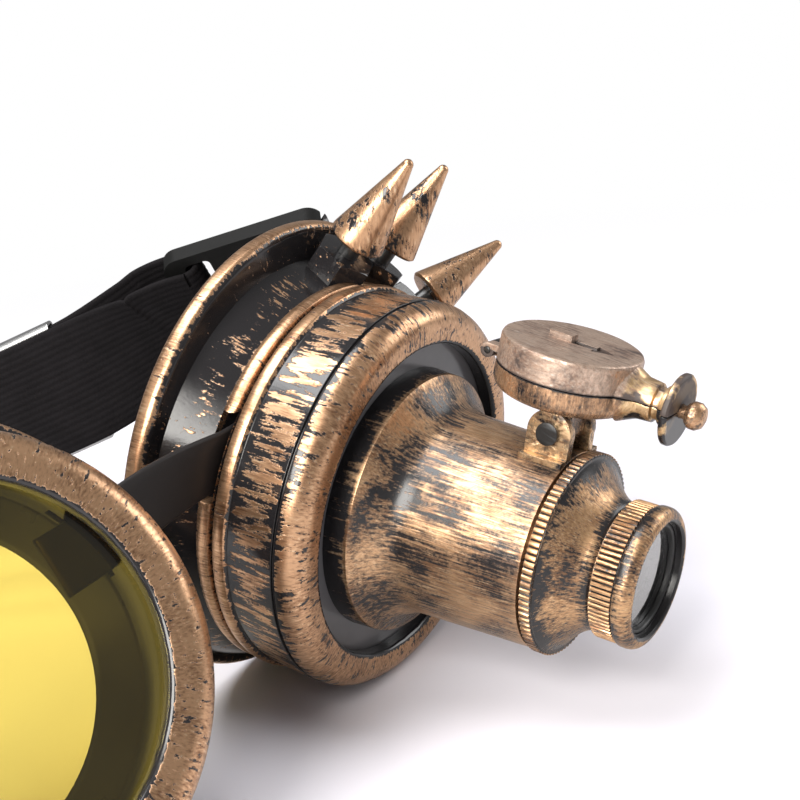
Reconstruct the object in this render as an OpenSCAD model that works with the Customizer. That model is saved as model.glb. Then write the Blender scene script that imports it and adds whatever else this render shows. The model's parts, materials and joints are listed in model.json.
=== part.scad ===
// Steampunk goggles: two copper cups on a short bridge strap, one with a clear
// yellow lens and one with a magnifier that carries a pocket compass, and an
// elastic strap that loops behind them. The goggles stand on a table, front to
// -Y. Each cup has its own frame: its origin is the centre of its front opening,
// +Z looks out of the front, +Y is up, and depths are measured back from the
// opening.

/* [Eye cups] */
// Radius of the rounded rim that rests round the eye
rim_r = 37.3; // [36.6:0.1:38.4]
// Width of the rim along the cup's axis
rim_w = 3.4; // [2.6:0.1:4]
// How far the rim's centre is set off, so that it reaches further at the brow
rim_offset = 2; // [0:0.1:2.4]
// Direction of that offset, from up towards the temple
rim_offset_at = 30; // [0:1:90]
// Depth of the rim's middle behind the front opening
rim_depth = 26.4; // [26:0.1:30]
// Outer radius of the flared part where it meets the rim
flare_r = 34; // [33:0.1:34.4]
// How far the flared part's narrow end lies inside the ring's band
flare_step = 0.5; // [0.2:0.1:0.8]
// Depth of the flared part's narrow end
flare_end = 18.4; // [18.2:0.1:19]
// Height of the cup's own rib over the flare's narrow end
rib_h = 1; // [0.6:0.1:1.4]
// Wall thickness of the flared part, across the axis
flare_wall = 2.1; // [1.6:0.1:2.6]
// Wall of the cup's straight neck, which the front ring screws over
neck_wall = 2.02; // [1.6:0.02:2.6]

/* [Front rings] */
// Depth of the ring's back edge
ring_back = 15.2; // [14.6:0.1:15.4]
// Outer radius of the ring's fluted band at its back end
band_r = 30.8; // [30.4:0.1:31.2]
// How much the band grows towards its front end
band_flare = 0.3; // [0:0.1:0.6]
// Wall of the ring's band over the cup's neck
ring_wall = 2.1; // [1.8:0.1:2.4]
// Height of the rib at the ring's back edge over the band
ring_rib_h = 0.7; // [0.4:0.1:1]
// Width of that rib
ring_rib_w = 2.7; // [2:0.1:3.4]
// Width of the groove between band and bezel
groove_w = 0.6; // [0.3:0.1:1]
// Depth of the groove into the ring
groove_d = 0.5; // [0.3:0.1:0.8]
// Length of the rounded bezel along the axis
bezel_l = 3.8; // [3:0.1:4.6]
// How far the bezel's round comes in from the band
bezel_round = 3.7; // [3:0.1:4.2]
// Width of the lip round the magnifier's opening
loupe_lip_w = 3.7; // [3.2:0.1:5]
// Width of the lip round the yellow lens
lens_lip_w = 4.3; // [3.2:0.1:5.2]
// Thickness of the lip that holds the lens in
lip_t = 2.6; // [2:0.1:2.8]
// Play between lens and ring, round and along the axis
ring_play = 0.08; // [0.04:0.01:0.1]

/* [Lens cup] */
// Thickness of the yellow lens
lens_t = 1.5; // [1:0.1:2]
// Play round the lens and the gasket in their ring
lens_room = 0.3; // [0.2:0.1:0.6]
// Width of the lens gasket
gasket_w = 2.5; // [1.8:0.1:3.4]

/* [Magnifier] */
// Radius of the barrel's foot on the insert disc
foot_r = 20.9; // [20:0.1:22]
// Height of the foot's straight edge
foot_h = 3.95; // [3:0.05:5]
// Radius at the sharp front edge of the foot
foot_edge_r = 20.6; // [19.8:0.1:20.8]
// Height of the hollow flare from the foot to the barrel
flare_l = 6.85; // [5:0.05:8]
// Outer radius of the barrel above the flare
barrel_r = 15.9; // [15.6:0.1:16.4]
// Outer radius of the barrel at its front end
barrel_end_r = 15.1; // [14.9:0.1:15.4]
// Distance of the barrel's front end from the opening plane
barrel_end = 26.4; // [25:0.1:28]
// Radius of the barrel's bore
barrel_bore_r = 13.4; // [12.8:0.1:13.8]
// Radius of the seat ledge behind the field lens
field_seat_r = 12.4; // [11.6:0.1:12.6]
// Thickness of the field lens at its edge
field_edge_t = 1.4; // [1:0.1:2]
// Bulge of each face of the field lens
field_bulge = 1.1; // [0.6:0.1:1.6]
// Thickness of the ring nut behind the insert disc
nut_t = 2.5; // [2:0.1:3]
// Outer radius of the ring nut
nut_r = 18.8; // [18:0.1:21]

/* [Focus collar and eyepiece] */
// Radius of the knurled focus disc
focus_r = 15.4; // [15:0.1:16]
// Thickness of the focus disc
focus_t = 1.8; // [1.4:0.1:2.6]
// Gap between the barrel's end and the focus disc
focus_gap = 0.5; // [0.4:0.1:0.8]
// Length of the collar's skirt inside the barrel
skirt_l = 6.9; // [5:0.1:9]
// Wall thickness of the skirt
skirt_wall = 1.3; // [1:0.1:1.8]
// Length of the hollow neck from focus disc to eyepiece
neck_l = 5.6; // [4.6:0.1:7]
// Radius of the neck at the focus disc
neck_wide_r = 14.6; // [13.6:0.1:15]
// Radius of the neck at the eyepiece
neck_thin_r = 9.7; // [9.4:0.1:10]
// Radius of the nose that carries the eyepiece ring
nose_r = 8; // [7.6:0.1:8.2]
// Radius of the light path through the nose
nose_bore_r = 6.8; // [6:0.1:7]
// Root radius of the eyepiece ring's knurl
eye_knurl_r = 10; // [9.8:0.1:10.4]
// Width of the eyepiece ring's knurled band
eye_knurl_w = 3.5; // [3:0.1:4.4]
// Radius of the smooth lip in front of the knurl
eye_lip_r = 10.6; // [10.5:0.1:11.2]
// Length of the lip
eye_lip_w = 2.8; // [2.4:0.1:3.6]
// Radius of the eyepiece's front opening
eye_open_r = 8.6; // [8.5:0.1:9]
// Step from that opening in to the pocket of the eyepiece's lens
eye_step = 0.3; // [0.2:0.05:0.35]
// Height of the knurl's ridges
knurl_h = 0.4; // [0.2:0.05:0.5]
// Play of every part that turns or slides on another
running_play = 0.06; // [0.03:0.01:0.1]

/* [Compass] */
// Where the compass stands on the barrel, from up towards the temple
compass_at = 10.9; // [0:0.1:20]
// Distance of the tilt pin from the barrel's axis
pin_height = 18.2; // [18.1:0.1:19]
// Distance of the tilt pin from the opening plane
pin_s = 22.9; // [22:0.1:23]
// Radius of the tilt pin
pin_r = 1.35; // [1:0.05:1.5]
// Tilt of the case, crown end down
case_tilt = 4.6; // [0:0.1:8]
// Height of the case's seam above the tilt pin
case_up = 8.4; // [8:0.1:9.4]
// How far the tilt pin lies towards the crown from the case's middle
case_back = 1.1; // [0:0.1:2]
// Radius of the compass case
case_r = 10.4; // [10:0.1:10.8]
// Height of the case's lower half
base_h = 4.02; // [3.8:0.02:4.4]
// Height of the case's lid
lid_h = 4.43; // [4:0.01:5]
// Side wall of the case
case_wall = 1.2; // [1:0.1:1.4]
// Floor and roof thickness of the case
case_floor = 1.1; // [0.9:0.1:1.3]
// Gap at the seam between lid and lower half
seam = 0.16; // [0.1:0.02:0.3]
// Distance of the crown flange's outer face from the case's middle
flange_end = 17.9; // [17:0.1:19]
// Radius of the crown flange
flange_r = 5.27; // [4.8:0.01:5.6]
// Radius of the pendant neck under the flange
pendant_r = 2.9; // [2.6:0.1:3.2]
// Radius of the crown's stem
stem_r = 1; // [0.8:0.05:1.2]
// Radius of the crown's knob
crown_r = 2; // [1.8:0.1:2.6]
// How far the crown can be pressed in
crown_travel = 0.8; // [0.5:0.1:1]
// Thickness of each ear that holds the tilt pin
ear_t = 1.6; // [1.2:0.1:2]
// Width of the case's knuckle between the ears
knuckle_w = 5.2; // [4.6:0.1:6]
// Radius of the ears round the pin
ear_round = 3.5; // [3:0.1:3.6]
// Radius of the knuckle round the pin
knuckle_round = 2.3; // [2:0.1:2.4]
// Radius of the lid's hinge barrel
lid_barrel_r = 1.1; // [0.9:0.1:1.2]
// Radius of the lid's hinge pin
lid_pin_r = 0.5; // [0.4:0.05:0.6]
// Half length of the compass needle
needle_l = 7.2; // [6:0.1:8]

/* [Spikes] */
// Across the corners of the hexagon nuts
nut_across = 10.2; // [9.6:0.1:10.6]
// Height of the nuts
hex_h = 4.2; // [3.6:0.1:5]
// Height at which the spike starts
spike_base = 7; // [6:0.1:8]
// Height of the spike's tip
spike_tip = 23; // [20:0.5:26]
// Radius of the spike's base
spike_r = 4.55; // [4:0.05:4.8]
// Radius of the screws that carry the spikes
screw_r = 1.65; // [1.4:0.05:1.8]
// Length of screw inside each spike
screw_in = 4; // [3:0.5:6]
// Depth of the spikes' row behind the front opening
spike_depth = 21.2; // [21:0.1:22]

/* [Bridge] */
// Width of the bridge strap
bridge_w = 10.5; // [9:0.1:11]
// Thickness of the bridge strap
bridge_t = 1; // [0.8:0.1:1.4]
// How far each end of the bridge strap reaches into its cup
bridge_tab = 9; // [6:0.5:12]
// Width of the slots for the bridge strap
slot_w = 11.8; // [11.6:0.1:12.4]
// Height of the slots along the cup's axis
slot_t = 2.3; // [2.1:0.1:2.5]
// Depth of the slots' middle inside the crest of the cup's rib
slot_in = 2.3; // [2:0.1:2.6]
// Place of the slot on the magnifier's cup, from up towards the nose
loupe_slot_at = 60; // [55:1:65]
// Place of the slot on the lens cup, from up towards the nose
lens_slot_at = 66; // [60:1:70]

/* [Temple lugs and buckles] */
// Place of the lug on the rim, from up towards the temple
lug_at = 58.3; // [54:0.1:64]
// Distance of the lug's eye from the cup's axis
lug_r = 39; // [38:0.1:40]
// Depth of the lug's eye behind the front opening
lug_depth = 39; // [37:0.1:41]
// Radius of the buckle bar that turns in the lug
bar_r = 1.5; // [1.2:0.1:1.8]
// Wall of the lug round that bar
lug_wall = 1.3; // [1:0.1:1.8]
// Length of the buckle from the lug's bar to its far edge
buckle_l = 27.6; // [26.8:0.1:30]
// Height of the buckle across the strap
buckle_h = 28; // [27:0.1:30]
// Height of the openings between the buckle's side rails
buckle_gap = 23.8; // [23.4:0.1:25]
// Thickness of the buckle
buckle_t = 3; // [2.4:0.1:3.6]
// Inward fold of the buckle behind the magnifier's cup
loupe_fold = 37.6; // [20:0.1:45]
// Inward fold of the buckle behind the lens cup
lens_fold = 0; // [0:1:20]

/* [Elastic strap] */
// Width of the elastic
elastic_w = 23; // [20:0.5:23.2]
// Thickness of the elastic
elastic_t = 1.5; // [1:0.1:1.8]
// Length of the steel clip on the strap's tail
clip_l = 12; // [8:0.5:14]
// Sheet thickness of the clip
clip_t = 0.6; // [0.4:0.1:0.8]

/* [Standing on the table] */
// Turn of the magnifier's cup about the vertical
loupe_yaw = 10.9; // [8:0.1:14]
// Nose-up angle of the magnifier's cup
loupe_pitch = -10.5; // [-12:0.1:-9]
// Turn of the lens cup about the vertical
lens_yaw = -10.87; // [-14:0.01:-8]
// Nose-up angle of the lens cup
lens_pitch = 26.65; // [24:0.05:29]
// Place of the magnifier's opening to the right of the bridge
loupe_x = 38.25; // [38:0.05:40]
// Place of the lens cup's opening to the left of the bridge
lens_x = 44.24; // [44:0.02:46]
// How far the magnifier's opening lies in front of the bridge
loupe_front = 6.73; // [5:0.01:8]
// How far the lens cup's opening lies in front of the bridge
lens_front = 17.09; // [16:0.01:19]

/* [Hidden] */

$fn = 96;
eps = 0.01;

// Place of the bridge's middle in the model's frame, whose origin is under the
// middle of the whole outline
bridge_x = -0.29;
bridge_y = -46.03;

// Lens stack, as depths behind the opening plane
lens_front_s = -lip_t - ring_play;
lens_back_s = lens_front_s - lens_t;
seat_s = -5.4;
pocket_r = band_r - ring_wall;
neck_r = pocket_r - ring_play;
neck_bore_r = neck_r - neck_wall;
ring_rib_r = band_r + ring_rib_h;
bezel_face_r = band_r + band_flare - bezel_round;
loupe_open_r = pocket_r - loupe_lip_w;
lens_open_r = pocket_r - lens_lip_w;
lens_r = pocket_r - lens_room;
gasket_bore_r = lens_r - gasket_w;
seam_w = 0.4;
rim_soft = 1.3;
shoulder_s = -ring_back - seam_w;
rim_front_s = -rim_depth + rim_w / 2;
rim_back_s = -rim_depth - rim_w / 2;
rim_low = rim_r - rim_offset * cos(rim_offset_at);
flare_start_s = rim_front_s - rim_w / 3;
flare_end_r = band_r - flare_step;
rib_r = flare_end_r + rib_h;
flare_slope = (flare_r - flare_end_r) / (-flare_start_s - flare_end);

// Height of a cup's opening when its rounded rim touches the table, nose down
// on the rim's front corner or nose up on its back corner
function rim_stand(pitch) =
    (rim_low - rim_soft) * cos(pitch) + rim_soft
    - (pitch < 0 ? rim_front_s - rim_soft : rim_back_s + rim_soft) * sin(pitch);
loupe_z = max(rim_stand(loupe_pitch), (band_r + band_flare) * cos(loupe_pitch) + bezel_l * sin(loupe_pitch));
lens_z = rim_stand(lens_pitch);

// A cup is [opening centre, yaw, pitch, side], side 1 with its temple to the right
LOUPE = [[bridge_x + loupe_x, bridge_y - loupe_front, loupe_z], loupe_yaw, loupe_pitch, 1];
LENS = [[bridge_x - lens_x, bridge_y - lens_front, lens_z], lens_yaw, lens_pitch, -1];

function cup_right(c) = [cos(c[1]), sin(c[1]), 0];
function cup_out(c) = [sin(c[1]) * cos(c[2]), -cos(c[1]) * cos(c[2]), sin(c[2])];
function cup_up(c) = cross(cup_out(c), cup_right(c));
function at_cup(c, p) = c[0] + p[0] * cup_right(c) + p[1] * cup_up(c) + p[2] * cup_out(c);
function unit(v) = v / norm(v);
function mix(a, b, t) = a * (1 - t) + b * t;
function ramp(t, from, to) = min(1, max(0, (t - from) / (to - from)));

module on_cup(c) {
    translate(c[0]) rotate([90 - c[2], 0, c[1]]) children();
}

// Turns a shape so that its X, Y and Z point along three square unit vectors
module along(x, y, z) {
    rotate([atan2(y[2], z[2]), asin(-x[2]), atan2(x[1], x[0])]) children();
}

module revolve(points) {
    rotate_extrude() polygon(points);
}

// Quarter round from [r + a, s] to [r, s + b], as profile points
function quarter(r, s, a, b, steps = 6) =
    [for (i = [0:steps]) [r + a * cos(90 * i / steps), s + b * sin(90 * i / steps)]];

// Shallow rounded rib between two depths, as profile points
function rib(r_foot, r_crest, s_back, s_front) = [
    [r_foot, s_back],
    [mix(r_foot, r_crest, 0.75), s_back + 0.15 * (s_front - s_back)],
    [r_crest, s_back + 0.38 * (s_front - s_back)],
    [r_crest, s_back + 0.62 * (s_front - s_back)],
    [mix(r_foot, r_crest, 0.75), s_back + 0.85 * (s_front - s_back)],
    [r_foot, s_front]
];

// Outer form of a cup without its rim: neck, rib and flare, filled to the axis
module cup_outer() {
    revolve(concat(
        [[0, flare_start_s - 1], [flare_r, flare_start_s - 1], [flare_r, flare_start_s]],
        rib(flare_end_r, rib_r, -flare_end, shoulder_s),
        [[neck_r, shoulder_s], [neck_r, seat_s], [0, seat_s]]));
}

// Hollow of a cup: straight neck, flare and the chamfered mouth on the eye side
module cup_hollow() {
    mouth_r = flare_r - flare_wall;
    revolve([
        [0, rim_back_s - 1], [mouth_r + 1.5, rim_back_s - 1], [mouth_r + 1, rim_back_s],
        [mouth_r, flare_start_s - 0.8], [flare_end_r - flare_wall, -flare_end - 0.6],
        [neck_bore_r, -flare_end + 0.6], [neck_bore_r, seat_s + eps], [0, seat_s + eps]
    ]);
}

// Rim: an eccentric rounded disc, opened by the cup's hollow later
module rim_disc(side) {
    rotate([0, 0, -side * rim_offset_at])
        translate([0, rim_offset, 0])
            revolve(concat(
                [[0, rim_back_s], [rim_r - rim_soft, rim_back_s]],
                [for (i = [1:5])
                    [rim_r - rim_soft + rim_soft * sin(18 * i), rim_back_s + rim_soft - rim_soft * cos(18 * i)]],
                [for (i = [0:5])
                    [rim_r - rim_soft + rim_soft * cos(18 * i), rim_front_s - rim_soft + rim_soft * sin(18 * i)]],
                [[0, rim_front_s]]));
}

// Lug behind the rim at the temple, with a snap-in eye for the buckle's bar
module temple_lug(side) {
    eye_r = bar_r + running_play;
    root = [flare_r + 1.7, -rim_depth];
    eye = [lug_r, -lug_depth];
    half = lug_wall;
    across = unit([root[1] - eye[1], eye[0] - root[0]]) * half;
    rotate([0, 0, -side * lug_at])
        rotate([90, 0, 90])
            linear_extrude(buckle_gap - 1.2, center = true)
                difference() {
                    union() {
                        translate(eye) circle(r = eye_r + lug_wall, $fn = 48);
                        polygon([eye + across, root + across, root - across, eye - across]);
                    }
                    translate(eye) circle(r = eye_r, $fn = 48);
                    translate(eye + [0, -bar_r * 0.75]) square([3 * eye_r, bar_r * 1.5]);
                }
}

// Direction, width and thickness of the bridge strap where it passes a slot
slot_r = rib_r - slot_in;
loupe_slot = at_cup(LOUPE, [-slot_r * sin(loupe_slot_at), slot_r * cos(loupe_slot_at), shoulder_s - 1.3]);
lens_slot = at_cup(LENS, [slot_r * sin(lens_slot_at), slot_r * cos(lens_slot_at), shoulder_s - 1.3]);
bridge_dir = unit(lens_slot - loupe_slot);
loupe_slot_w = unit(cross(bridge_dir, cup_out(LOUPE)));
lens_slot_w = unit(cross(bridge_dir, cup_out(LENS)));

module slot_cut(place, width_dir) {
    translate(place)
        along(width_dir, cross(bridge_dir, width_dir), bridge_dir)
            cube([slot_w, slot_t, 2 * bridge_tab + 2], center = true);
}

module cup_shell(c) {
    difference() {
        on_cup(c)
            difference() {
                union() {
                    cup_outer();
                    rim_disc(c[3]);
                    temple_lug(c[3]);
                }
                cup_hollow();
            }
        slot_cut(loupe_slot, loupe_slot_w);
        slot_cut(lens_slot, lens_slot_w);
    }
}

// Screw-on ring: rib, fluted band, groove, round bezel and the lip over the lens
module front_ring(c, open_r) {
    band_front_s = -bezel_l - groove_w;
    rib_front_s = -ring_back + ring_rib_w;
    on_cup(c)
        revolve(concat(
            rib(band_r, ring_rib_r, -ring_back, rib_front_s),
            [[band_r + band_flare, band_front_s],
             [band_r + band_flare - groove_d, band_front_s], [band_r + band_flare - groove_d, -bezel_l]],
            quarter(bezel_face_r, -bezel_l, band_r + band_flare - bezel_face_r, bezel_l),
            [for (i = [0:3]) [open_r + 0.9 - 0.9 * sin(30 * i), -0.9 + 0.9 * cos(30 * i)]],
            [[open_r, -lip_t], [pocket_r, -lip_t], [pocket_r, -ring_back]]));
}

// Spike places on the flare: angle from up to the temple, forward lean past the
// flare's own, lean to the nose
SPIKES = [[16, 3.5, 3], [33.5, -2.5, 6], [59, -0.9, 0]];
flare_lean = atan(flare_slope);
spike_wall = flare_wall + 0.8;
spike_ground_r = flare_r - (-flare_start_s - spike_depth) * flare_slope;

module on_spike(k) {
    on_cup(LOUPE)
        rotate([0, 0, -k[0]])
            translate([0, spike_ground_r, -spike_depth])
                rotate([-(90 - flare_lean - k[1]), 0, 0])
                    rotate([0, -k[2], 0])
                        children();
}

module loupe_cup_shell() {
    color("peru")
        difference() {
            cup_shell(LOUPE);
            for (k = SPIKES)
                on_spike(k)
                    translate([0, 0, -2 * spike_wall])
                        cylinder(r = screw_r + 0.15, h = 3 * spike_wall, $fn = 32);
        }
}

module lens_cup_shell() {
    color("peru") cup_shell(LENS);
}

module spike_screws() {
    head_t = 1.4;
    color("dimgray")
        for (k = SPIKES)
            on_spike(k) {
                translate([0, 0, -spike_wall])
                    cylinder(r = screw_r, h = spike_wall + spike_base + screw_in, $fn = 32);
                translate([0, 0, -spike_wall - head_t]) cylinder(r = 2 * screw_r, h = head_t, $fn = 32);
            }
}

module spike_nuts() {
    chamfer = 0.6;
    color("black")
        for (k = SPIKES)
            difference() {
                on_spike(k)
                    difference() {
                        intersection() {
                            translate([0, 0, -2])
                                rotate([0, 0, 30]) cylinder(r = nut_across / 2, h = hex_h + 2, $fn = 6);
                            revolve([
                                [0, -2], [nut_across, -2], [nut_across, hex_h - 3 * chamfer],
                                [nut_across / 2 - chamfer, hex_h], [0, hex_h]
                            ]);
                        }
                        translate([0, 0, -3]) cylinder(r = screw_r + eps, h = hex_h + 4, $fn = 32);
                    }
                on_cup(LOUPE) cup_outer();
                on_cup(LOUPE) rim_disc(LOUPE[3]);
            }
}

module spikes() {
    tip_r = 0.9;
    color("peru")
        for (k = SPIKES)
            on_spike(k)
                difference() {
                    revolve(concat(
                        [[0, spike_base], [spike_r - 0.4, spike_base], [spike_r, spike_base + 0.4],
                         [spike_r - 0.1, spike_base + 1]],
                        [for (i = [0:4]) [tip_r * cos(22.5 * i), spike_tip - tip_r + tip_r * sin(22.5 * i)]]));
                    translate([0, 0, spike_base - 1]) cylinder(r = screw_r + eps, h = screw_in + 1.2, $fn = 32);
                }
}

module loupe_front_ring() {
    color("peru") front_ring(LOUPE, loupe_open_r);
}

module lens_front_ring() {
    color("peru") front_ring(LENS, lens_open_r);
}

module insert_disc() {
    color("slategray")
        on_cup(LOUPE)
            revolve([
                [barrel_r + eps, seat_s], [lens_r, seat_s], [lens_r, lens_front_s],
                [barrel_r + eps, lens_front_s]
            ]);
}

// Outline of the barrel's outside from the foot to the front end
function barrel_side() = concat(
    [[barrel_r, lens_front_s], [foot_r, lens_front_s], [foot_edge_r, lens_front_s + foot_h]],
    [for (i = [1:7])
        [barrel_r + (foot_edge_r - barrel_r) * pow(1 - i / 7, 2.2),
         lens_front_s + foot_h + flare_l * i / 7]],
    [[barrel_end_r, barrel_end]]);

spigot_back_s = seat_s - nut_t;
field_seat_s = -3;

module loupe_barrel() {
    color("peru")
        on_cup(LOUPE)
            revolve(concat(
                [[field_seat_r, spigot_back_s], [barrel_r, spigot_back_s]],
                barrel_side(),
                [[barrel_bore_r, barrel_end], [barrel_bore_r, field_seat_s], [field_seat_r, field_seat_s]]));
}

module barrel_ring_nut() {
    color("dimgray")
        on_cup(LOUPE)
            difference() {
                revolve([
                    [barrel_r + eps, spigot_back_s], [nut_r - 0.5, spigot_back_s],
                    [nut_r, spigot_back_s + 0.5], [nut_r, seat_s], [barrel_r + eps, seat_s]
                ]);
                for (a = [0:90:270])
                    rotate([0, 0, a])
                        translate([0, nut_r, spigot_back_s]) cube([2.4, 2.4, 3], center = true);
            }
}

// A lens with two bulging faces, its back edge at depth s
module round_lens(r, edge_t, bulge, s) {
    revolve(concat(
        [for (i = [0:6]) [r * sin(15 * i), s - bulge * (1 - pow(sin(15 * i), 2))]],
        [for (i = [6:-1:0]) [r * sin(15 * i), s + edge_t + bulge * (1 - pow(sin(15 * i), 2))]]));
}

// The field lens rests with its bulging back on the ledge's inner edge
module field_lens() {
    r = barrel_bore_r - 0.04;
    color("lightcyan", 0.4)
        on_cup(LOUPE)
            round_lens(r, field_edge_t, field_bulge,
                field_seat_s + field_bulge * (1 - pow(field_seat_r / r, 2)) + eps);
}

module on_pivot() {
    on_cup(LOUPE)
        rotate([0, 0, -compass_at])
            translate([0, pin_height, pin_s])
                children();
}

// Frame of the compass case: +X to the crown, +Z up through the lid, its origin
// in the middle of the seam
module on_case() {
    on_pivot()
        rotate([0, -90, -90])
            rotate([0, case_tilt, 0])
                translate([-case_back, 0, case_up])
                    children();
}

bracket_w = knuckle_w + 2 * ear_t + 0.2;
bracket_back = ear_round;
bracket_front = barrel_end - pin_s - 0.1;

// Two ears on a saddle that fits the barrel, with a low wall behind the knuckle
module compass_bracket() {
    saddle_t = 1.6;
    color("saddlebrown")
        difference() {
            on_pivot()
                difference() {
                    union() {
                        for (side = [-1, 1])
                            translate([side * (bracket_w - ear_t) / 2, 0, 0])
                                rotate([90, 0, 90])
                                    linear_extrude(ear_t, center = true)
                                        union() {
                                            circle(r = ear_round, $fn = 64);
                                            translate([-pin_height + barrel_end_r - 2, -bracket_back])
                                                square([pin_height - barrel_end_r + 2, bracket_back + bracket_front]);
                                        }
                        translate([-bracket_w / 2, -pin_height + barrel_end_r - 2, -bracket_back])
                            cube([bracket_w, saddle_t + 2, 0.9]);
                        for (side = [-1, 1])
                            translate([side * (bracket_w / 2 + 0.9), -pin_height + barrel_end_r - 1.6, 0])
                                translate([-0.9, -1, -bracket_back])
                                    cube([1.8, 2.4, bracket_back + bracket_front]);
                    }
                    rotate([0, 90, 0]) cylinder(r = pin_r, h = bracket_w + 1, center = true, $fn = 48);
                }
            on_cup(LOUPE) revolve(concat([[0, lens_front_s]], barrel_side(), [[0, barrel_end]]));
        }
}

module tilt_pin() {
    head_t = 0.7;
    color("gray")
        on_pivot()
            rotate([0, 90, 0])
                union() {
                    cylinder(r = pin_r, h = bracket_w + 2 * eps, center = true, $fn = 48);
                    for (side = [-1, 1])
                        translate([0, 0, side * (bracket_w + head_t) / 2])
                            cylinder(r = pin_r + 0.35, h = head_t, center = true, $fn = 48);
                }
}

// Side outline of a knurled ring: trapezoid ridges round a circle
module knurled(root_r, height, ridges) {
    step = 360 / ridges;
    linear_extrude(height)
        polygon([for (i = [0:ridges - 1], p = [[0, 0], [0.3, 1], [0.7, 1]])
            (root_r + knurl_h * p[1]) * [cos(step * (i + p[0])), sin(step * (i + p[0]))]]);
}

focus_back_s = barrel_end + focus_gap;
focus_front_s = focus_back_s + focus_t;
neck_end_s = focus_front_s + neck_l;
eye_back_s = neck_end_s + 0.8;
eye_seat_s = eye_back_s + eye_knurl_w + 0.1;
eye_front_s = eye_back_s + eye_knurl_w + eye_lip_w;
eye_lens_edge = 0.7;
eye_lens_bulge = 0.5;
retainer_t = 0.8;
eye_pocket_r = eye_open_r - eye_step;
eye_mouth_s = eye_seat_s + eye_lens_edge + retainer_t + 0.1;

module focus_collar() {
    skirt_r = barrel_bore_r - running_play;
    color("peru")
        on_cup(LOUPE)
            difference() {
                union() {
                    revolve(concat(
                        [[0, focus_back_s - skirt_l], [skirt_r, focus_back_s - skirt_l], [skirt_r, focus_back_s],
                         [focus_r - knurl_h, focus_back_s], [focus_r - knurl_h, focus_front_s]],
                        [for (i = [0:7])
                            [neck_thin_r + (neck_wide_r - neck_thin_r) * pow(1 - i / 7, 1.7),
                             focus_front_s + neck_l * i / 7]],
                        [[neck_thin_r - 0.5, neck_end_s + 0.5], [nose_r, neck_end_s + 0.5],
                         [nose_r, eye_seat_s - 0.1], [0, eye_seat_s - 0.1]]));
                    translate([0, 0, focus_back_s + 0.1])
                        knurled(focus_r - knurl_h - eps, focus_t - 0.2, 96);
                }
                revolve([
                    [0, focus_back_s - skirt_l - 1], [skirt_r - skirt_wall, focus_back_s - skirt_l - 1],
                    [skirt_r - skirt_wall, focus_front_s - 0.6], [nose_bore_r, neck_end_s - 0.6],
                    [nose_bore_r, eye_seat_s + 1], [0, eye_seat_s + 1]
                ]);
            }
}

module eyepiece_ring() {
    bore = nose_r + running_play;
    color("peru")
        on_cup(LOUPE)
            difference() {
                union() {
                    revolve(concat(
                        [[0, eye_back_s], [eye_knurl_r, eye_back_s], [eye_knurl_r, eye_back_s + eye_knurl_w]],
                        [for (i = [0:3])
                            [eye_lip_r - 0.4 + 0.4 * sin(30 * i), eye_back_s + eye_knurl_w + 0.5 - 0.4 * cos(30 * i)]],
                        quarter(eye_open_r + 0.4, eye_front_s - 1.6, eye_lip_r - eye_open_r - 0.4, 1.6, 5),
                        [[eye_open_r, eye_front_s - 0.3], [0, eye_front_s - 0.3]]));
                    translate([0, 0, eye_back_s + 0.2])
                        knurled(eye_knurl_r - eps, eye_knurl_w - 0.3, 80);
                }
                translate([0, 0, eye_back_s - 1]) cylinder(r = bore, h = eye_seat_s - eye_back_s + 2);
                translate([0, 0, eye_seat_s]) cylinder(r = eye_pocket_r, h = eye_lip_w + 2);
                translate([0, 0, eye_mouth_s]) cylinder(r = eye_open_r, h = eye_lip_w + 2);
            }
}

module eyepiece_lens() {
    color("lightgray", 0.5)
        on_cup(LOUPE)
            revolve(concat(
                [[0, eye_seat_s], [eye_pocket_r - 0.05, eye_seat_s],
                 [eye_pocket_r - 0.05, eye_seat_s + eye_lens_edge]],
                [for (i = [5:-1:0])
                    [(eye_pocket_r - 0.9) * sin(18 * i),
                     eye_seat_s + eye_lens_edge + eye_lens_bulge * (1 - pow(sin(18 * i), 2))]]));
}

module eyepiece_retainer() {
    ring_s = eye_seat_s + eye_lens_edge;
    color("black")
        on_cup(LOUPE)
            revolve([
                [eye_pocket_r - 0.8, ring_s], [eye_pocket_r - 0.03, ring_s],
                [eye_pocket_r - 0.03, ring_s + retainer_t], [eye_pocket_r - 0.6, ring_s + retainer_t]
            ]);
}

lid_hinge_x = -case_r - lid_barrel_r - 0.2;
base_barrel_w = 2.4;
lid_barrel_w = 1.9;
stem_start = 13;
knob_start = flange_end + crown_travel + 0.2;
knob_l = 2.6;

// Pendant neck and crown flange, turned about the case's X axis
module pendant() {
    rotate([0, 90, 0])
        revolve([
            [0, case_r - 1], [4.4, case_r - 1], [3.6, case_r + 0.6], [pendant_r + 0.2, case_r + 1.7],
            [pendant_r, flange_end - 3.6], [pendant_r - 0.5, flange_end - 3.4],
            [pendant_r - 0.5, flange_end - 2.6], [pendant_r, flange_end - 2.4], [pendant_r + 0.3, flange_end - 1.4],
            [flange_r - 0.25, flange_end - 1.15], [flange_r, flange_end - 0.9], [flange_r, flange_end - 0.3],
            [flange_r - 0.25, flange_end], [0, flange_end]
        ]);
}

module stem_bore() {
    translate([stem_start - crown_travel - 0.2, 0, 0])
        rotate([0, 90, 0]) cylinder(r = stem_r + running_play, h = 9, $fn = 32);
}

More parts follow.
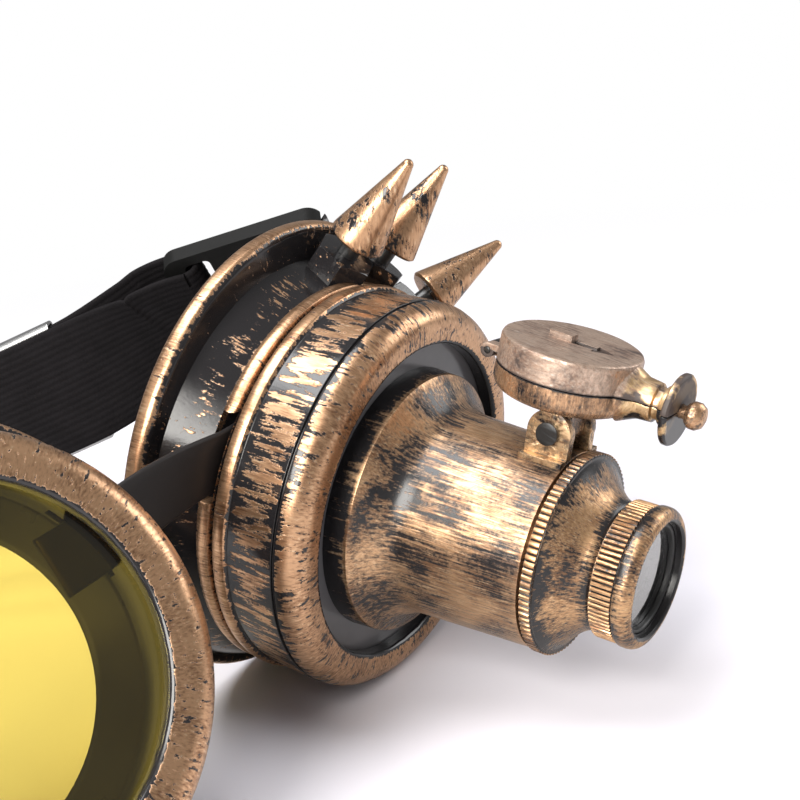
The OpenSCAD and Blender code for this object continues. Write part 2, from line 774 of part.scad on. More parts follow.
// One half of the case: drum and pendant on one side of the seam
module case_half(up) {
    far = 20;
    difference() {
        intersection() {
            union() {
                if (up > 0)
                    revolve([
                        [0, 0], [case_r, 0], [case_r, lid_h - 0.7], [case_r - 0.2, lid_h - 0.25],
                        [case_r - 0.7, lid_h], [0, lid_h]
                    ]);
                else
                    revolve(concat(
                        [[0, -base_h]],
                        [for (i = [0:5])
                            [case_r - 2.2 + 2.2 * sin(18 * i), -base_h + 2 - 2 * cos(18 * i)]],
                        [[case_r, 0], [0, 0]]));
                pendant();
            }
            translate([-far, -far, up > 0 ? seam / 2 : -far - seam / 2]) cube([2 * far, 2 * far, far]);
        }
        if (up > 0)
            translate([0, 0, -1]) cylinder(r = case_r - case_wall, h = lid_h - case_floor + 1);
        else
            translate([0, 0, -base_h + case_floor]) cylinder(r = case_r - case_wall, h = base_h);
        stem_bore();
    }
}

// One barrel of the lid's hinge, joined to the case wall on its own side
module hinge_barrel(y, width, up) {
    web_l = -lid_hinge_x - case_r + 0.8;
    translate([lid_hinge_x, y, 0])
        difference() {
            union() {
                rotate([90, 0, 0]) cylinder(r = lid_barrel_r, h = width, center = true, $fn = 32);
                translate([0, -width / 2, up > 0 ? seam / 2 : -lid_barrel_r])
                    cube([web_l, width, lid_barrel_r - seam / 2]);
            }
            rotate([90, 0, 0])
                cylinder(r = lid_pin_r + (up > 0 ? running_play : 0), h = width + 1, center = true, $fn = 32);
        }
}

lid_barrel_y = base_barrel_w / 2 + 0.15 + lid_barrel_w / 2;

module compass_base() {
    color("peru")
        on_case()
            difference() {
                union() {
                    case_half(-1);
                    hinge_barrel(0, base_barrel_w, -1);
                    translate([case_back, 0, -case_up])
                        rotate([90, 0, 0])
                            linear_extrude(knuckle_w, center = true)
                                union() {
                                    circle(r = knuckle_round, $fn = 48);
                                    translate([-knuckle_round, 0])
                                        square([2 * knuckle_round, case_up - base_h + 0.5]);
                                }
                }
                translate([case_back, 0, -case_up])
                    rotate([90, 0, 0])
                        cylinder(r = pin_r + running_play, h = knuckle_w + 1, center = true, $fn = 48);
            }
}

module compass_lid() {
    hub = [3.6, 2, 1];
    arrow_d = 0.45;
    color("rosybrown")
        on_case()
            union() {
                difference() {
                    case_half(1);
                    translate([0, 0, lid_h - arrow_d])
                        linear_extrude(1)
                            polygon([[-0.5, 0.9], [3.4, 0.7], [3.4, 1.7], [6.6, 0], [3.4, -1.7], [3.4, -0.7], [-0.5, -0.9]]);
                }
                translate([-1.8, 0, lid_h + hub[2] / 2 - 0.3]) cube(hub + [0, 0, 0.6], center = true);
                for (side = [-1, 1])
                    hinge_barrel(side * lid_barrel_y, lid_barrel_w, 1);
            }
}

module lid_hinge_pin() {
    color("gray")
        on_case()
            translate([lid_hinge_x, 0, 0])
                rotate([90, 0, 0])
                    cylinder(r = lid_pin_r, h = base_barrel_w + 2 * lid_barrel_w + 0.5, center = true, $fn = 32);
}

dial_t = 0.5;
floor_z = -base_h + case_floor;
inner_r = case_r - case_wall - 0.05;
needle_z = floor_z + dial_t + 0.55;

module compass_dial() {
    color("ivory") on_case() translate([0, 0, floor_z]) cylinder(r = inner_r, h = dial_t);
}

module needle_pivot() {
    color("gold")
        on_case()
            translate([0, 0, floor_z + dial_t])
                revolve([[0, 0], [0.9, 0], [0.9, 0.4], [0.38, 0.45], [0.38, 0.95], [0, 1.05]]);
}

module compass_needle() {
    hub_r = 1;
    color("firebrick")
        on_case()
            translate([0, 0, needle_z])
                difference() {
                    union() {
                        linear_extrude(0.25)
                            polygon([[needle_l, 0], [0, 0.9], [-needle_l, 0], [0, -0.9]]);
                        cylinder(r = hub_r, h = 0.4, $fn = 32);
                    }
                    translate([0, 0, -1]) cylinder(r = 0.38 + running_play, h = 3, $fn = 32);
                }
}

module compass_glass() {
    color("white", 0.3) on_case() translate([0, 0, -0.9]) cylinder(r = inner_r, h = 0.6);
}

module crown() {
    color("peru")
        on_case()
            rotate([0, 90, 0])
                revolve([
                    [0, stem_start], [stem_r, stem_start], [stem_r, knob_start],
                    [crown_r * 0.75, knob_start], [crown_r, knob_start + 0.25 * knob_l],
                    [crown_r, knob_start + 0.6 * knob_l], [crown_r * 0.75, knob_start + 0.9 * knob_l],
                    [crown_r * 0.4, knob_start + knob_l], [0, knob_start + knob_l]
                ]);
}

module yellow_lens() {
    color("khaki", 0.5)
        on_cup(LENS)
            translate([0, 0, lens_back_s]) cylinder(r = lens_r, h = lens_t);
}

module lens_gasket() {
    color("black")
        on_cup(LENS)
            revolve([
                [gasket_bore_r, seat_s], [lens_r, seat_s], [lens_r, lens_back_s], [gasket_bore_r, lens_back_s]
            ]);
}

// A flat band through stations [centre, width direction, thickness direction]
module band(stations, width, thick) {
    last = len(stations) - 1;
    corners = [[1, 1], [-1, 1], [-1, -1], [1, -1]];
    polyhedron(
        [for (s = stations, c = corners) s[0] + s[1] * c[0] * width / 2 + s[2] * c[1] * thick / 2],
        concat(
            [[0, 1, 2], [0, 2, 3]],
            [for (i = [0:last - 1], j = [0:3]) [4 * i + j, 4 * i + 4 + j, 4 * i + (j + 1) % 4]],
            [for (i = [0:last - 1], j = [0:3]) [4 * i + 4 + j, 4 * i + 4 + (j + 1) % 4, 4 * i + (j + 1) % 4]],
            [[4 * last, 4 * last + 2, 4 * last + 1], [4 * last, 4 * last + 3, 4 * last + 2]]));
}

// Station at p with travel direction d and the wanted width direction w
function station(p, d, w) = let (side = unit(w - d * (w * d))) [p, side, cross(unit(d), side)];

module bridge_strap() {
    steps = 16;
    rise = 0.8;
    start = loupe_slot - bridge_dir * bridge_tab;
    finish = lens_slot + bridge_dir * bridge_tab;
    span = norm(finish - start);
    color("black")
        band([for (i = [0:steps])
            let (t = i / steps,
                twist = ramp(t * span, bridge_tab, span - bridge_tab),
                up = rise * sin(180 * twist))
            station(mix(start, finish, t) + [0, 0, up], bridge_dir,
                mix(loupe_slot_w, lens_slot_w, twist))],
            bridge_w, bridge_t);
}

function buckle_fold(c) = c[3] > 0 ? loupe_fold : lens_fold;

module on_buckle(c) {
    on_cup(c)
        rotate([0, 0, -c[3] * lug_at])
            translate([0, lug_r, -lug_depth])
                rotate([-buckle_fold(c), 0, 0])
                    children();
}

far_bar_w = 3.8;
web_w = 4.4;
fold_slot = 4.6;
web_back = buckle_l - far_bar_w - fold_slot;

module rounded_plate(w, h, r) {
    union() {
        square([w - 2 * r, h], center = true);
        square([w, h - 2 * r], center = true);
        for (x = [-1, 1], y = [-1, 1])
            translate([x * (w / 2 - r), y * (h / 2 - r)]) circle(r = r, $fn = 32);
    }
}

// Moulded frame: round bar in the lug, wide web, strap slot and far bar
module buckle(c) {
    lug_room = 6;
    open_l = web_back - web_w + lug_room;
    color([0.1, 0.1, 0.1])
        on_buckle(c)
            union() {
                rotate([90, 0, 0])
                    linear_extrude(buckle_t, center = true)
                        difference() {
                            translate([0, -buckle_l / 2 + 1])
                                rounded_plate(buckle_h, buckle_l + 2, 3);
                            translate([0, lug_room - open_l / 2]) rounded_plate(buckle_gap, open_l, 2);
                            translate([0, -web_back - fold_slot / 2]) rounded_plate(buckle_gap, fold_slot, 1);
                        }
                rotate([0, 90, 0]) cylinder(r = bar_r, h = buckle_gap + 1, center = true, $fn = 48);
            }
}

module loupe_buckle() {
    buckle(LOUPE);
}

module lens_buckle() {
    buckle(LENS);
}

// Frame of a buckle as vectors: bar, thickness and the way out of the cup
function bar_dir(c) = cos(lug_at) * cup_right(c) - c[3] * sin(lug_at) * cup_up(c);
function lug_out(c) = c[3] * sin(lug_at) * cup_right(c) + cos(lug_at) * cup_up(c);
function buckle_face(c) = lug_out(c) * cos(buckle_fold(c)) - cup_out(c) * sin(buckle_fold(c));
function buckle_run(c) = -lug_out(c) * sin(buckle_fold(c)) - cup_out(c) * cos(buckle_fold(c));
function at_buckle(c, run, face) =
    at_cup(c, [0, 0, -lug_depth]) + lug_r * lug_out(c) + run * buckle_run(c) + face * buckle_face(c);
// Width direction of the strap at a buckle, pointing up
function strap_up(c) = bar_dir(c) * (bar_dir(c)[2] > 0 ? 1 : -1);

turn_r = buckle_t / 2 + 0.45 + elastic_t / 2;
turn_run = web_back + fold_slot + 0.5;

// Free stretch of the strap as points relative to the bridge's middle, chosen
// by hand: it sinks behind the cups until its lower edge nears the table
LOOP = [
    [40.5, 57.5, 48.6], [29.5, 69.5, 42], [12, 88, 34.5], [-8, 108, 27], [-26, 128, 19.5], [-45, 142, 14.5],
    [-63, 143, 12.5], [-76, 131, 12], [-80, 113, 13.5], [-76, 95, 17.5], [-68, 79, 22.5]
];

strap_points = concat(
    [at_buckle(LOUPE, turn_run, -turn_r), at_buckle(LOUPE, buckle_l + 1.5, -turn_r)],
    [for (p = LOOP) p + [bridge_x, bridge_y, 0]],
    [for (run = [buckle_l + 8, buckle_l + 1.5, turn_run]) at_buckle(LENS, run, -turn_r)]);
strap_last = len(strap_points) - 1;
// Points from a buckle at which the strap is clear of its far bar
clear_of_bar = 1.8;

// Point on a smooth curve through the strap's points, t counted in points
function strap_at(t) =
    let (i = min(strap_last - 1, floor(t)), u = t - i,
        a = strap_points[max(0, i - 1)], b = strap_points[i],
        c = strap_points[i + 1], d = strap_points[min(strap_last, i + 2)])
    0.5 * (2 * b + (c - a) * u + (2 * a - 5 * b + 4 * c - d) * u * u + (3 * b - a - 3 * c + d) * u * u * u);
function strap_run(t) = unit(strap_at(min(strap_last, t + 0.05)) - strap_at(max(0, t - 0.05)));
// Width direction: square to the buckle at each end and upright between
function strap_side(t) =
    t < strap_last / 2
    ? mix(strap_up(LOUPE), [0, 0, 1], ramp(t, clear_of_bar, clear_of_bar + 1.2))
    : mix(strap_up(LENS), [0, 0, 1], ramp(strap_last - t, clear_of_bar, clear_of_bar + 2.7));
function strap_station(t) = station(strap_at(t), strap_run(t), strap_side(t));
// Half turn of the elastic round a buckle's far bar, from the tail's face to the
// main strap's for way 1, and back again for way -1
function half_turn(c, way) = [for (i = [1:5])
    let (a = way > 0 ? 30 * i : 180 - 30 * i,
        travel = -way * (cos(a) * buckle_run(c) + sin(a) * buckle_face(c)))
    [at_buckle(c, turn_run - turn_r * sin(a), turn_r * cos(a)), strap_up(c), cross(travel, strap_up(c))]];

steps_per_point = 5;
// Lengths of the doubled tails, counted in the strap's points, and the space
// between the tail's and the main strap's middle planes at the clip
loupe_tail_l = 3.5;
lens_tail_l = 2.6;
clip_play = 0.35;
tail_gap = elastic_t + clip_play + clip_t + 0.25;

// Tail station k points away from a buckle: a bar's width off the main strap at
// first, then close behind it
function tail_station(c, k) =
    let (s = strap_station(c[3] > 0 ? k : strap_last - k), out = sign(s[2] * buckle_face(c)))
    [s[0] + out * s[2] * mix(2 * turn_r, tail_gap, ramp(k, clear_of_bar, clear_of_bar + 1)), s[1], -s[2]];

module elastic_strap() {
    color([0.08, 0.08, 0.08])
        band(concat(
            [for (i = [20:-1:0]) tail_station(LOUPE, loupe_tail_l * i / 20)],
            half_turn(LOUPE, 1),
            [for (i = [0:strap_last * steps_per_point]) strap_station(i / steps_per_point)],
            half_turn(LENS, -1),
            [for (i = [0:8]) tail_station(LENS, lens_tail_l * i / 8)]),
            elastic_w, elastic_t);
}

module tail_clip() {
    s = tail_station(LOUPE, loupe_tail_l - 0.24);
    run = cross(s[1], s[2]);
    inner_t = elastic_t + 2 * clip_play;
    inner_w = elastic_w + 2 * clip_play;
    color("silver")
        translate(s[0])
            along(s[1], s[2], run)
                linear_extrude(clip_l, center = true)
                    difference() {
                        rounded_plate(inner_w + 2 * clip_t, inner_t + 2 * clip_t, inner_t / 2);
                        square([inner_w, inner_t], center = true);
                    }
}

loupe_cup_shell();
spike_screws();
spike_nuts();
spikes();
loupe_front_ring();
insert_disc();
loupe_barrel();
barrel_ring_nut();
field_lens();
compass_bracket();
tilt_pin();
focus_collar();
eyepiece_ring();
eyepiece_lens();
eyepiece_retainer();
compass_base();
compass_dial();
needle_pivot();
compass_needle();
compass_glass();
lid_hinge_pin();
compass_lid();
crown();
lens_cup_shell();
lens_front_ring();
yellow_lens();
lens_gasket();
bridge_strap();
loupe_buckle();
lens_buckle();
elastic_strap();
tail_clip();
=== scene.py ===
"""Steampunk goggles on a white table: finishes, soft straps, studio and camera.

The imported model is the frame. Every position is worked out from its joints, in
metres, and the sizes of the goggles' own pieces are written in millimetres.
"""

from __future__ import annotations

import json
import logging
import math
from dataclasses import dataclass, field
from enum import Enum
from typing import Callable, Iterable, Sequence

import bmesh
import bpy
from mathutils import Matrix, Vector

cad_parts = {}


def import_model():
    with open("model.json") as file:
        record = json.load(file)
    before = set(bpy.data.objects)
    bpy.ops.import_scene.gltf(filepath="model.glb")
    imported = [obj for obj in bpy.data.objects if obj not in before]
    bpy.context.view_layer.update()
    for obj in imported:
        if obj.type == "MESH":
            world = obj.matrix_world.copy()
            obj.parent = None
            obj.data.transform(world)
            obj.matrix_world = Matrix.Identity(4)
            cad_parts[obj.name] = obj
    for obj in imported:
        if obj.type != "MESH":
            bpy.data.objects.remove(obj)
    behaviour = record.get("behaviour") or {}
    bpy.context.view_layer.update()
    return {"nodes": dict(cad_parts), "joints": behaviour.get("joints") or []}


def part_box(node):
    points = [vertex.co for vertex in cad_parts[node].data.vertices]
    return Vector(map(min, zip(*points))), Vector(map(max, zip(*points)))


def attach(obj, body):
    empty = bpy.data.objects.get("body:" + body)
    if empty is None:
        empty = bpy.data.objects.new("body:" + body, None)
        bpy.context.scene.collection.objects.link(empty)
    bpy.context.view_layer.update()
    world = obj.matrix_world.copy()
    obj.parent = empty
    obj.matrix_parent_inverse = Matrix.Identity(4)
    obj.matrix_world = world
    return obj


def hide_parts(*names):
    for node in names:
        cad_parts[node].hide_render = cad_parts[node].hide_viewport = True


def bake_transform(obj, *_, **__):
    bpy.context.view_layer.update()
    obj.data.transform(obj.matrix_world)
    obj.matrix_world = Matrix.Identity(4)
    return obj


LOG = logging.getLogger("goggles")
MM = 0.001
HOLLOW_R = 60.0
Colour = tuple[float, float, float]
Point = tuple[float, float, float]
Stops = tuple[tuple[float, float], ...]


def grey(level: float) -> Colour:
    """Returns a neutral colour of that level."""
    return (level, level, level)


class Value:
    """A socket that carries a number, with the usual operators."""

    def __init__(self, shader: "Shader", socket: object) -> None:
        """Wraps a socket.

        Args:
            shader: The material that the socket is in.
            socket: An output socket.
        """
        self.shader = shader
        self.socket = socket

    def _math(self, operation: str, *others: object, clamp: bool = False) -> "Value":
        """Returns a Math node's result on this value and others."""
        values = {i: item for i, item in enumerate((self, *others))}
        return self.shader.node("Math", {"operation": operation, "use_clamp": clamp}, values)

    def __add__(self, other: object) -> "Value":
        """Returns the sum."""
        return self._math("ADD", other)

    __radd__ = __add__

    def __sub__(self, other: object) -> "Value":
        """Returns the difference."""
        return self._math("SUBTRACT", other)

    def __rsub__(self, other: float) -> "Value":
        """Returns a number less this value."""
        return self.shader.node("Math", {"operation": "SUBTRACT"}, {0: other, 1: self})

    def __mul__(self, other: object) -> "Value":
        """Returns the product."""
        return self._math("MULTIPLY", other)

    __rmul__ = __mul__

    def clamped(self) -> "Value":
        """Returns the value held between 0 and 1."""
        return self._math("ADD", 0.0, clamp=True)

    def root(self) -> "Value":
        """Returns the square root."""
        return self._math("SQRT")

    def angle_from(self, other: "Value") -> "Value":
        """Returns the angle of the point (other, self) in radians."""
        return self._math("ARCTAN2", other)

    def most(self, other: object) -> "Value":
        """Returns the larger of two values."""
        return self._math("MAXIMUM", other)

    def wave(self) -> "Value":
        """Returns the sine."""
        return self._math("SINE")

    def size(self) -> "Value":
        """Returns the absolute value."""
        return self._math("ABSOLUTE")

    def step(self, low: float, high: float) -> "Value":
        """Returns 0 below low, 1 above high and a straight ramp between.

        Args:
            low: Value at which the ramp starts.
            high: Value at which it ends; may lie below low.

        Returns:
            The ramp's value.
        """
        return ((self - low) * (1.0 / (high - low))).clamped()

    def band(self, centre: float, half: float, soft: float) -> "Value":
        """Returns 1 within half of centre, falling to 0 over soft."""
        return (self - centre).size().step(half + soft, half)


class Shader:
    """A node material that is built from expressions."""

    def __init__(self, name: str) -> None:
        """Starts an empty material.

        Args:
            name: Name of the finish.
        """
        self.material = bpy.data.materials.new(name)
        self.material.use_nodes = True
        self.tree = self.material.node_tree
        self.tree.nodes.clear()

    def node(self, kind: str, settings: dict[str, object], values: dict[object, object],
             output: object = 0) -> Value:
        """Adds a node and returns one of its outputs.

        Args:
            kind: The node's type without its ShaderNode prefix.
            settings: Attributes to set first; "stops" sets a ramp's stops.
            values: Numbers, colours or values for its inputs, by name or place.
            output: Name or place of the output to return.

        Returns:
            That output.
        """
        made = self.tree.nodes.new("ShaderNode" + kind)
        for name, setting in settings.items():
            if name == "stops":
                self._set_stops(made.color_ramp, setting)
            else:
                setattr(made, name, setting)
        for key, item in values.items():
            if isinstance(item, Value):
                self.tree.links.new(item.socket, made.inputs[key])
            elif isinstance(item, tuple) and made.inputs[key].type == "RGBA":
                made.inputs[key].default_value = (*item, 1.0)
            else:
                made.inputs[key].default_value = item
        return Value(self, made.outputs[output])

    @staticmethod
    def _set_stops(ramp: bpy.types.ColorRamp, stops: Stops) -> None:
        """Gives a ramp its stops.

        Args:
            ramp: The node's colour ramp.
            stops: Pairs of place and level.
        """
        while len(ramp.elements) < len(stops):
            ramp.elements.new(0.5)
        for element, (place, level) in zip(ramp.elements, stops):
            element.position = place
            element.color = (level, level, level, 1.0)

    def vector(self, x: object, y: object, z: object) -> Value:
        """Returns a vector of three values."""
        return self.node("CombineXYZ", {}, {0: x, 1: y, 2: z})

    def noise(self, place: Value, scale: float = 1.0, detail: float = 4.0,
              rough: float = 0.55) -> Value:
        """Returns a noise value at a place.

        Args:
            place: Where the noise is read.
            scale: Lumps per unit of place.
            detail: Octaves.
            rough: Share that each octave keeps.

        Returns:
            The noise.
        """
        return self.node("TexNoise", {"noise_dimensions": "3D"},
                         {"Vector": place, "Scale": scale, "Detail": detail, "Roughness": rough})

    def profile(self, along: Value, stops: Stops) -> Value:
        """Returns a level that follows stops along a length.

        Args:
            along: Position in millimetres.
            stops: Pairs of position and level, in rising order.

        Returns:
            The level.
        """
        low, high = stops[0][0], stops[-1][0]
        share = tuple(((place - low) / (high - low), level) for place, level in stops)
        return self.node("ValToRGB", {"stops": share}, {0: along.step(low, high)})

    def mix(self, factor: object, first: object, second: object) -> Value:
        """Returns a colour between two colours."""
        return self.node("Mix", {"data_type": "RGBA"}, {0: factor, 6: first, 7: second}, output=2)

    def bump(self, height: Value, depth_mm: float, strength: float = 1.0) -> Value:
        """Returns normals bumped by a height from 0 to 1 that stands depth_mm high."""
        values = {"Height": height, "Distance": depth_mm * MM, "Strength": strength}
        return self.node("Bump", {}, values)

    def surface(self, **sockets: object) -> bpy.types.Material:
        """Ends the material with a Principled shader.

        Args:
            **sockets: Its inputs, with underscores for the spaces.

        Returns:
            The finished material.
        """
        values = {name.replace("_", " "): item for name, item in sockets.items()}
        return self.finish(self.node("BsdfPrincipled", {}, values))

    def finish(self, shader: Value) -> bpy.types.Material:
        """Joins a shader to the output.

        Args:
            shader: The shader's output.

        Returns:
            The finished material.
        """
        output = self.tree.nodes.new("ShaderNodeOutputMaterial")
        self.tree.links.new(shader.socket, output.inputs[0])
        return self.material


@dataclass(frozen=True)
class Axes:
    """A right-handed frame, such as a cup's: its opening in metres, right, up and out."""

    origin: Vector
    right: Vector
    up: Vector
    out: Vector

    @staticmethod
    def facing(origin: Vector, out: Vector) -> "Axes":
        """Returns an upright frame at origin that looks along out."""
        right = Vector((0, 0, 1)).cross(out).normalized()
        return Axes(origin, right, out.cross(right), out)

    def at(self, x: float, y: float, z: float) -> Vector:
        """Returns the point at x, y and z millimetres."""
        return self.origin + (self.right * x + self.up * y + self.out * z) * MM

@dataclass(frozen=True)
class Field:
    """Positions over a surface, in millimetres, measured in a frame."""

    x: Value
    y: Value
    z: Value
    radius: Value
    round: Value

    @staticmethod
    def of(shader: Shader, axes: Axes, girth: float) -> "Field":
        """Reads a frame's positions in a material.

        Args:
            shader: The material.
            axes: The frame.
            girth: Radius at which the position round the axis is in millimetres.

        Returns:
            The positions.
        """
        place = shader.node("TexCoord", {}, {}, output="Object")
        offset = shader.node("VectorMath", {"operation": "SUBTRACT"},
                             {0: place, 1: tuple(axes.origin)})
        parts = [shader.node("VectorMath", {"operation": "DOT_PRODUCT"},
                             {0: offset, 1: tuple(way / MM)}, output="Value")
                 for way in (axes.right, axes.up, axes.out)]
        x, y, z = parts
        return Field(x, y, z, (x * x + y * y).root(), x.angle_from(y) * girth)


class Run(Enum):
    """Which way the brush went over a piece."""

    AXIAL = "along the axis"
    ROUND = "round the axis"
    FLAT = "along the frame's right"
    DABBED = "in no direction"
    LONG = "along a lean piece"


@dataclass(frozen=True)
class Copper:
    """Copper dry-brushed over glossy black; lengths are in millimetres.

    Attributes:
        cover: Share of copper along the axis, as stops of position and share.
        run: Which way the brush went.
        girth: Radius at which strokes round the piece keep their width.
        across, along: Lumps per millimetre across and along the strokes.
        strokes, patches: Shares of strokes and of wide patches; flecks take the rest.
        patch_size, fleck_size: Their sizes.
        soft, contrast: Softness of the paint's edge and strength of its breaks.
        tone, pale, brown, gold: Colours of the copper, its painted highlight
        flecks, its tarnish and the gilt end of the compass.
        clean: Share of copper free of tarnish.
        shine: Roughness of the copper.
        depth_mm: Height of the brushed paint.
        under, gloss: Colour and roughness of the black paint.
        bare_below: Radii between which copper starts; nothing lies further in.
        inside: The hollow's radius along the axis, in shares of HOLLOW_R.
        seam: Place and fineness of a dashed seam line.
        grooves: Middle, half width and crest radius of each knurled band.
        gilt_beyond: Distance along the frame's right where the gilt starts.
        flange: Where the pendant's dark face starts, and its rim's radius.
        recess: Height, half height and reach of the dark recess.
    """

    name: str
    cover: Stops
    run: Run = Run.AXIAL
    girth: float = 30.0
    across: float = 1.5
    along: float = 0.2
    strokes: float = 0.5
    patches: float = 0.2
    patch_size: float = 7.0
    fleck_size: float = 0.5
    soft: float = 0.12
    contrast: float = 2.6
    tone: Colour = (0.600, 0.360, 0.210)
    # The pale colour is a painted highlight, laid as flecks on the raised strokes.
    pale: Colour = (0.880, 0.690, 0.460)
    brown: Colour = (0.230, 0.120, 0.066)
    gold: Colour = (0.64, 0.44, 0.24)
    clean: float = 0.50
    shine: float = 0.25
    depth_mm: float = 0.05
    under: Colour = (0.013, 0.012, 0.013)
    gloss: float = 0.15
    bare_below: tuple[float, float] | None = None
    inside: Stops | None = None
    seam: tuple[float, float] | None = None
    grooves: tuple[tuple[float, float, float], ...] = ()
    gilt_beyond: float | None = None
    flange: tuple[float, float] | None = None
    recess: tuple[float, float, float] | None = None

    def _stroke_place(self, shader: Shader, place: Field) -> Value:
        """Returns the noise position in which strokes are long and thin.

        Args:
            shader: The material.
            place: Positions over the piece.

        Returns:
            A vector for the noise.
        """
        ways = {
            Run.AXIAL: (place.round * self.across, place.radius * self.across * 0.4,
                        place.z * self.along),
            Run.ROUND: (place.round * self.along, place.radius * self.across,
                        place.z * self.across),
            Run.FLAT: (place.x * self.along, place.y * self.across, place.z * self.across * 0.5),
            Run.DABBED: (place.x * self.across, place.y * self.across, place.z * self.across),
            Run.LONG: (place.x * self.across, place.y * self.across, place.z * self.along),
        }
        return shader.vector(*ways[self.run])

    def build(self, axes: Axes) -> bpy.types.Material:
        """Makes the material in a frame.

        Args:
            axes: The frame whose out axis the cover is measured along.

        Returns:
            The material.
        """
        shader = Shader(self.name)
        place = Field.of(shader, axes, self.girth)
        point = shader.vector(place.x, place.y, place.z)
        stroke = shader.noise(self._stroke_place(shader, place), 1.0, 5.0, 0.6)
        patch = shader.noise(point, 1.0 / self.patch_size, 3.0, 0.5)
        fleck = shader.noise(point, 1.0 / self.fleck_size, 4.0, 0.65)
        rest = 1.0 - self.strokes - self.patches
        blend = stroke * self.strokes + patch * self.patches + fleck * rest
        level = (blend - 0.5) * self.contrast + 0.5
        cover = shader.profile(place.z, self.cover)
        if self.bare_below:
            cover = cover * place.radius.step(*self.bare_below)
        if self.inside:
            hollow = shader.profile(place.z, self.inside) * HOLLOW_R
            cover = cover * (place.radius - hollow).step(0.0, 0.6)
        tone = self.tone
        if self.gilt_beyond is not None:
            gilt = place.x.step(self.gilt_beyond, self.gilt_beyond + 0.6)
            level = level + ((patch - 0.53) * 6.0 - place.x.step(13.5, 17.5) * 0.55) * gilt
            tone = shader.mix(gilt, self.tone, self.gold)
        paint = ((level + cover - 1.0) * (1.0 / self.soft)).clamped()
        for middle, half, crest in self.grooves:
            sunk = place.radius.step(crest, crest - 0.08)
            paint = paint * (1.0 - place.z.band(middle, half, 0.1) * sunk)
        if self.flange:
            start, rim = self.flange
            spread = (place.y * place.y + place.z * place.z).root()
            dark = place.x.step(start, start + 0.08) * spread.step(rim, rim - 0.15)
            paint = paint * (1.0 - dark * 0.85)
        if self.recess:
            middle, half, reach = self.recess
            near = place.radius.step(reach, reach - 0.1)
            paint = paint * (1.0 - place.z.band(middle, half, 0.05) * near)
        if self.seam:
            dashes = (place.round * self.seam[1]).wave().step(-0.2, 0.1)
            paint = paint * (1.0 - place.z.band(self.seam[0], 0.06, 0.10) * dashes)
        wear = shader.noise(self._stroke_place(shader, place), 2.3, 3.0, 0.6)
        fresh = ((wear - 0.42) * 3.6 + (patch - 0.5) * 2.2 + self.clean).clamped()
        # Pale flecks where the strokes stand highest: a painted highlight, not wear.
        highlight_flecks = ((wear - 0.60) * 5.0 + (fleck - 0.5) * 1.2).clamped()
        copper = shader.mix(highlight_flecks, shader.mix(fresh, self.brown, tone), self.pale)
        lift = paint * 0.8 + wear * 0.35
        dull = (1.0 - wear) * paint * 0.16
        return shader.surface(
            Base_Color=shader.mix(paint, self.under, copper),
            Metallic=paint * 0.94,
            Roughness=self.gloss + paint * (self.shine - self.gloss) + dull,
            Specular_IOR_Level=0.5,
            Normal=shader.bump(lift, self.depth_mm, 0.55),
        )


@dataclass(frozen=True)
class Plastic:
    """Moulded plastic or rubber with a fine grain and faint scratches."""

    name: str
    colour: Colour
    rough: float
    grain_mm: float = 0.6
    grain_depth: float = 0.008
    scuff: float = 0.15
    metal: float = 0.0
    specular: float = 0.5

    def build(self) -> bpy.types.Material:
        """Makes the material.

        Returns:
            The material.
        """
        shader = Shader(self.name)
        place = shader.node("TexCoord", {}, {}, output="Object")
        grain = shader.noise(place, 1.0 / (self.grain_mm * MM), 4.0, 0.6)
        smear = shader.noise(place, 1.0 / (9.0 * MM), 3.0, 0.5)
        pale = tuple(min(1.0, c * 1.5 + 0.006) for c in self.colour)
        return shader.surface(
            Base_Color=shader.mix((smear * 0.6 + grain * 0.4 - 0.25).clamped(),
                                  self.colour, pale),
            Roughness=(self.rough + (smear - 0.5) * self.scuff).clamped(),
            Metallic=self.metal,
            Specular_IOR_Level=self.specular,
            Normal=shader.bump(grain, self.grain_depth, 0.6),
        )


@dataclass(frozen=True)
class Webbing:
    """Woven elastic: matt, with a fine cross weave on its modelled ribs."""

    name: str = "woven_elastic"
    thread: Colour = (0.0045, 0.0040, 0.0045)
    fuzz: Colour = (0.018, 0.016, 0.018)

    def build(self) -> bpy.types.Material:
        """Makes the material.

        Returns:
            The material.
        """
        shader = Shader(self.name)
        place = shader.node("TexCoord", {}, {}, output="Object")
        weave = shader.noise(place, 1.0 / (0.35 * MM), 3.0, 0.7)
        lint = shader.noise(place, 1.0 / (4.0 * MM), 2.0, 0.5)
        return shader.surface(
            Base_Color=shader.mix((weave * 0.9 + lint * 0.4 - 0.35).clamped(),
                                  self.thread, self.fuzz),
            Roughness=0.82 + weave * 0.1,
            Specular_IOR_Level=0.1,
            Normal=shader.bump(weave, 0.12, 0.8),
        )


@dataclass(frozen=True)
class Glass:
    """A clear lens: tinted see-through with a glossy reflection."""

    name: str
    tint: Colour
    reflection: float = 0.04
    smudge: float = 0.02

    def build(self) -> bpy.types.Material:
        """Makes the material.

        Returns:
            The material.
        """
        shader = Shader(self.name)
        place = shader.node("TexCoord", {}, {}, output="Object")
        haze = shader.noise(place, 1.0 / (14.0 * MM), 3.0, 0.5)
        clear = shader.node("BsdfTransparent", {}, {"Color": self.tint})
        gloss = shader.node("BsdfGlossy", {}, {"Color": grey(0.95), "Roughness": 0.03})
        edge = shader.node("LayerWeight", {}, {"Blend": 0.28}, output="Fresnel")
        factor = (edge * 0.75 + self.reflection + haze * self.smudge).clamped()
        return shader.finish(shader.node("MixShader", {}, {0: factor, 1: clear, 2: gloss}))


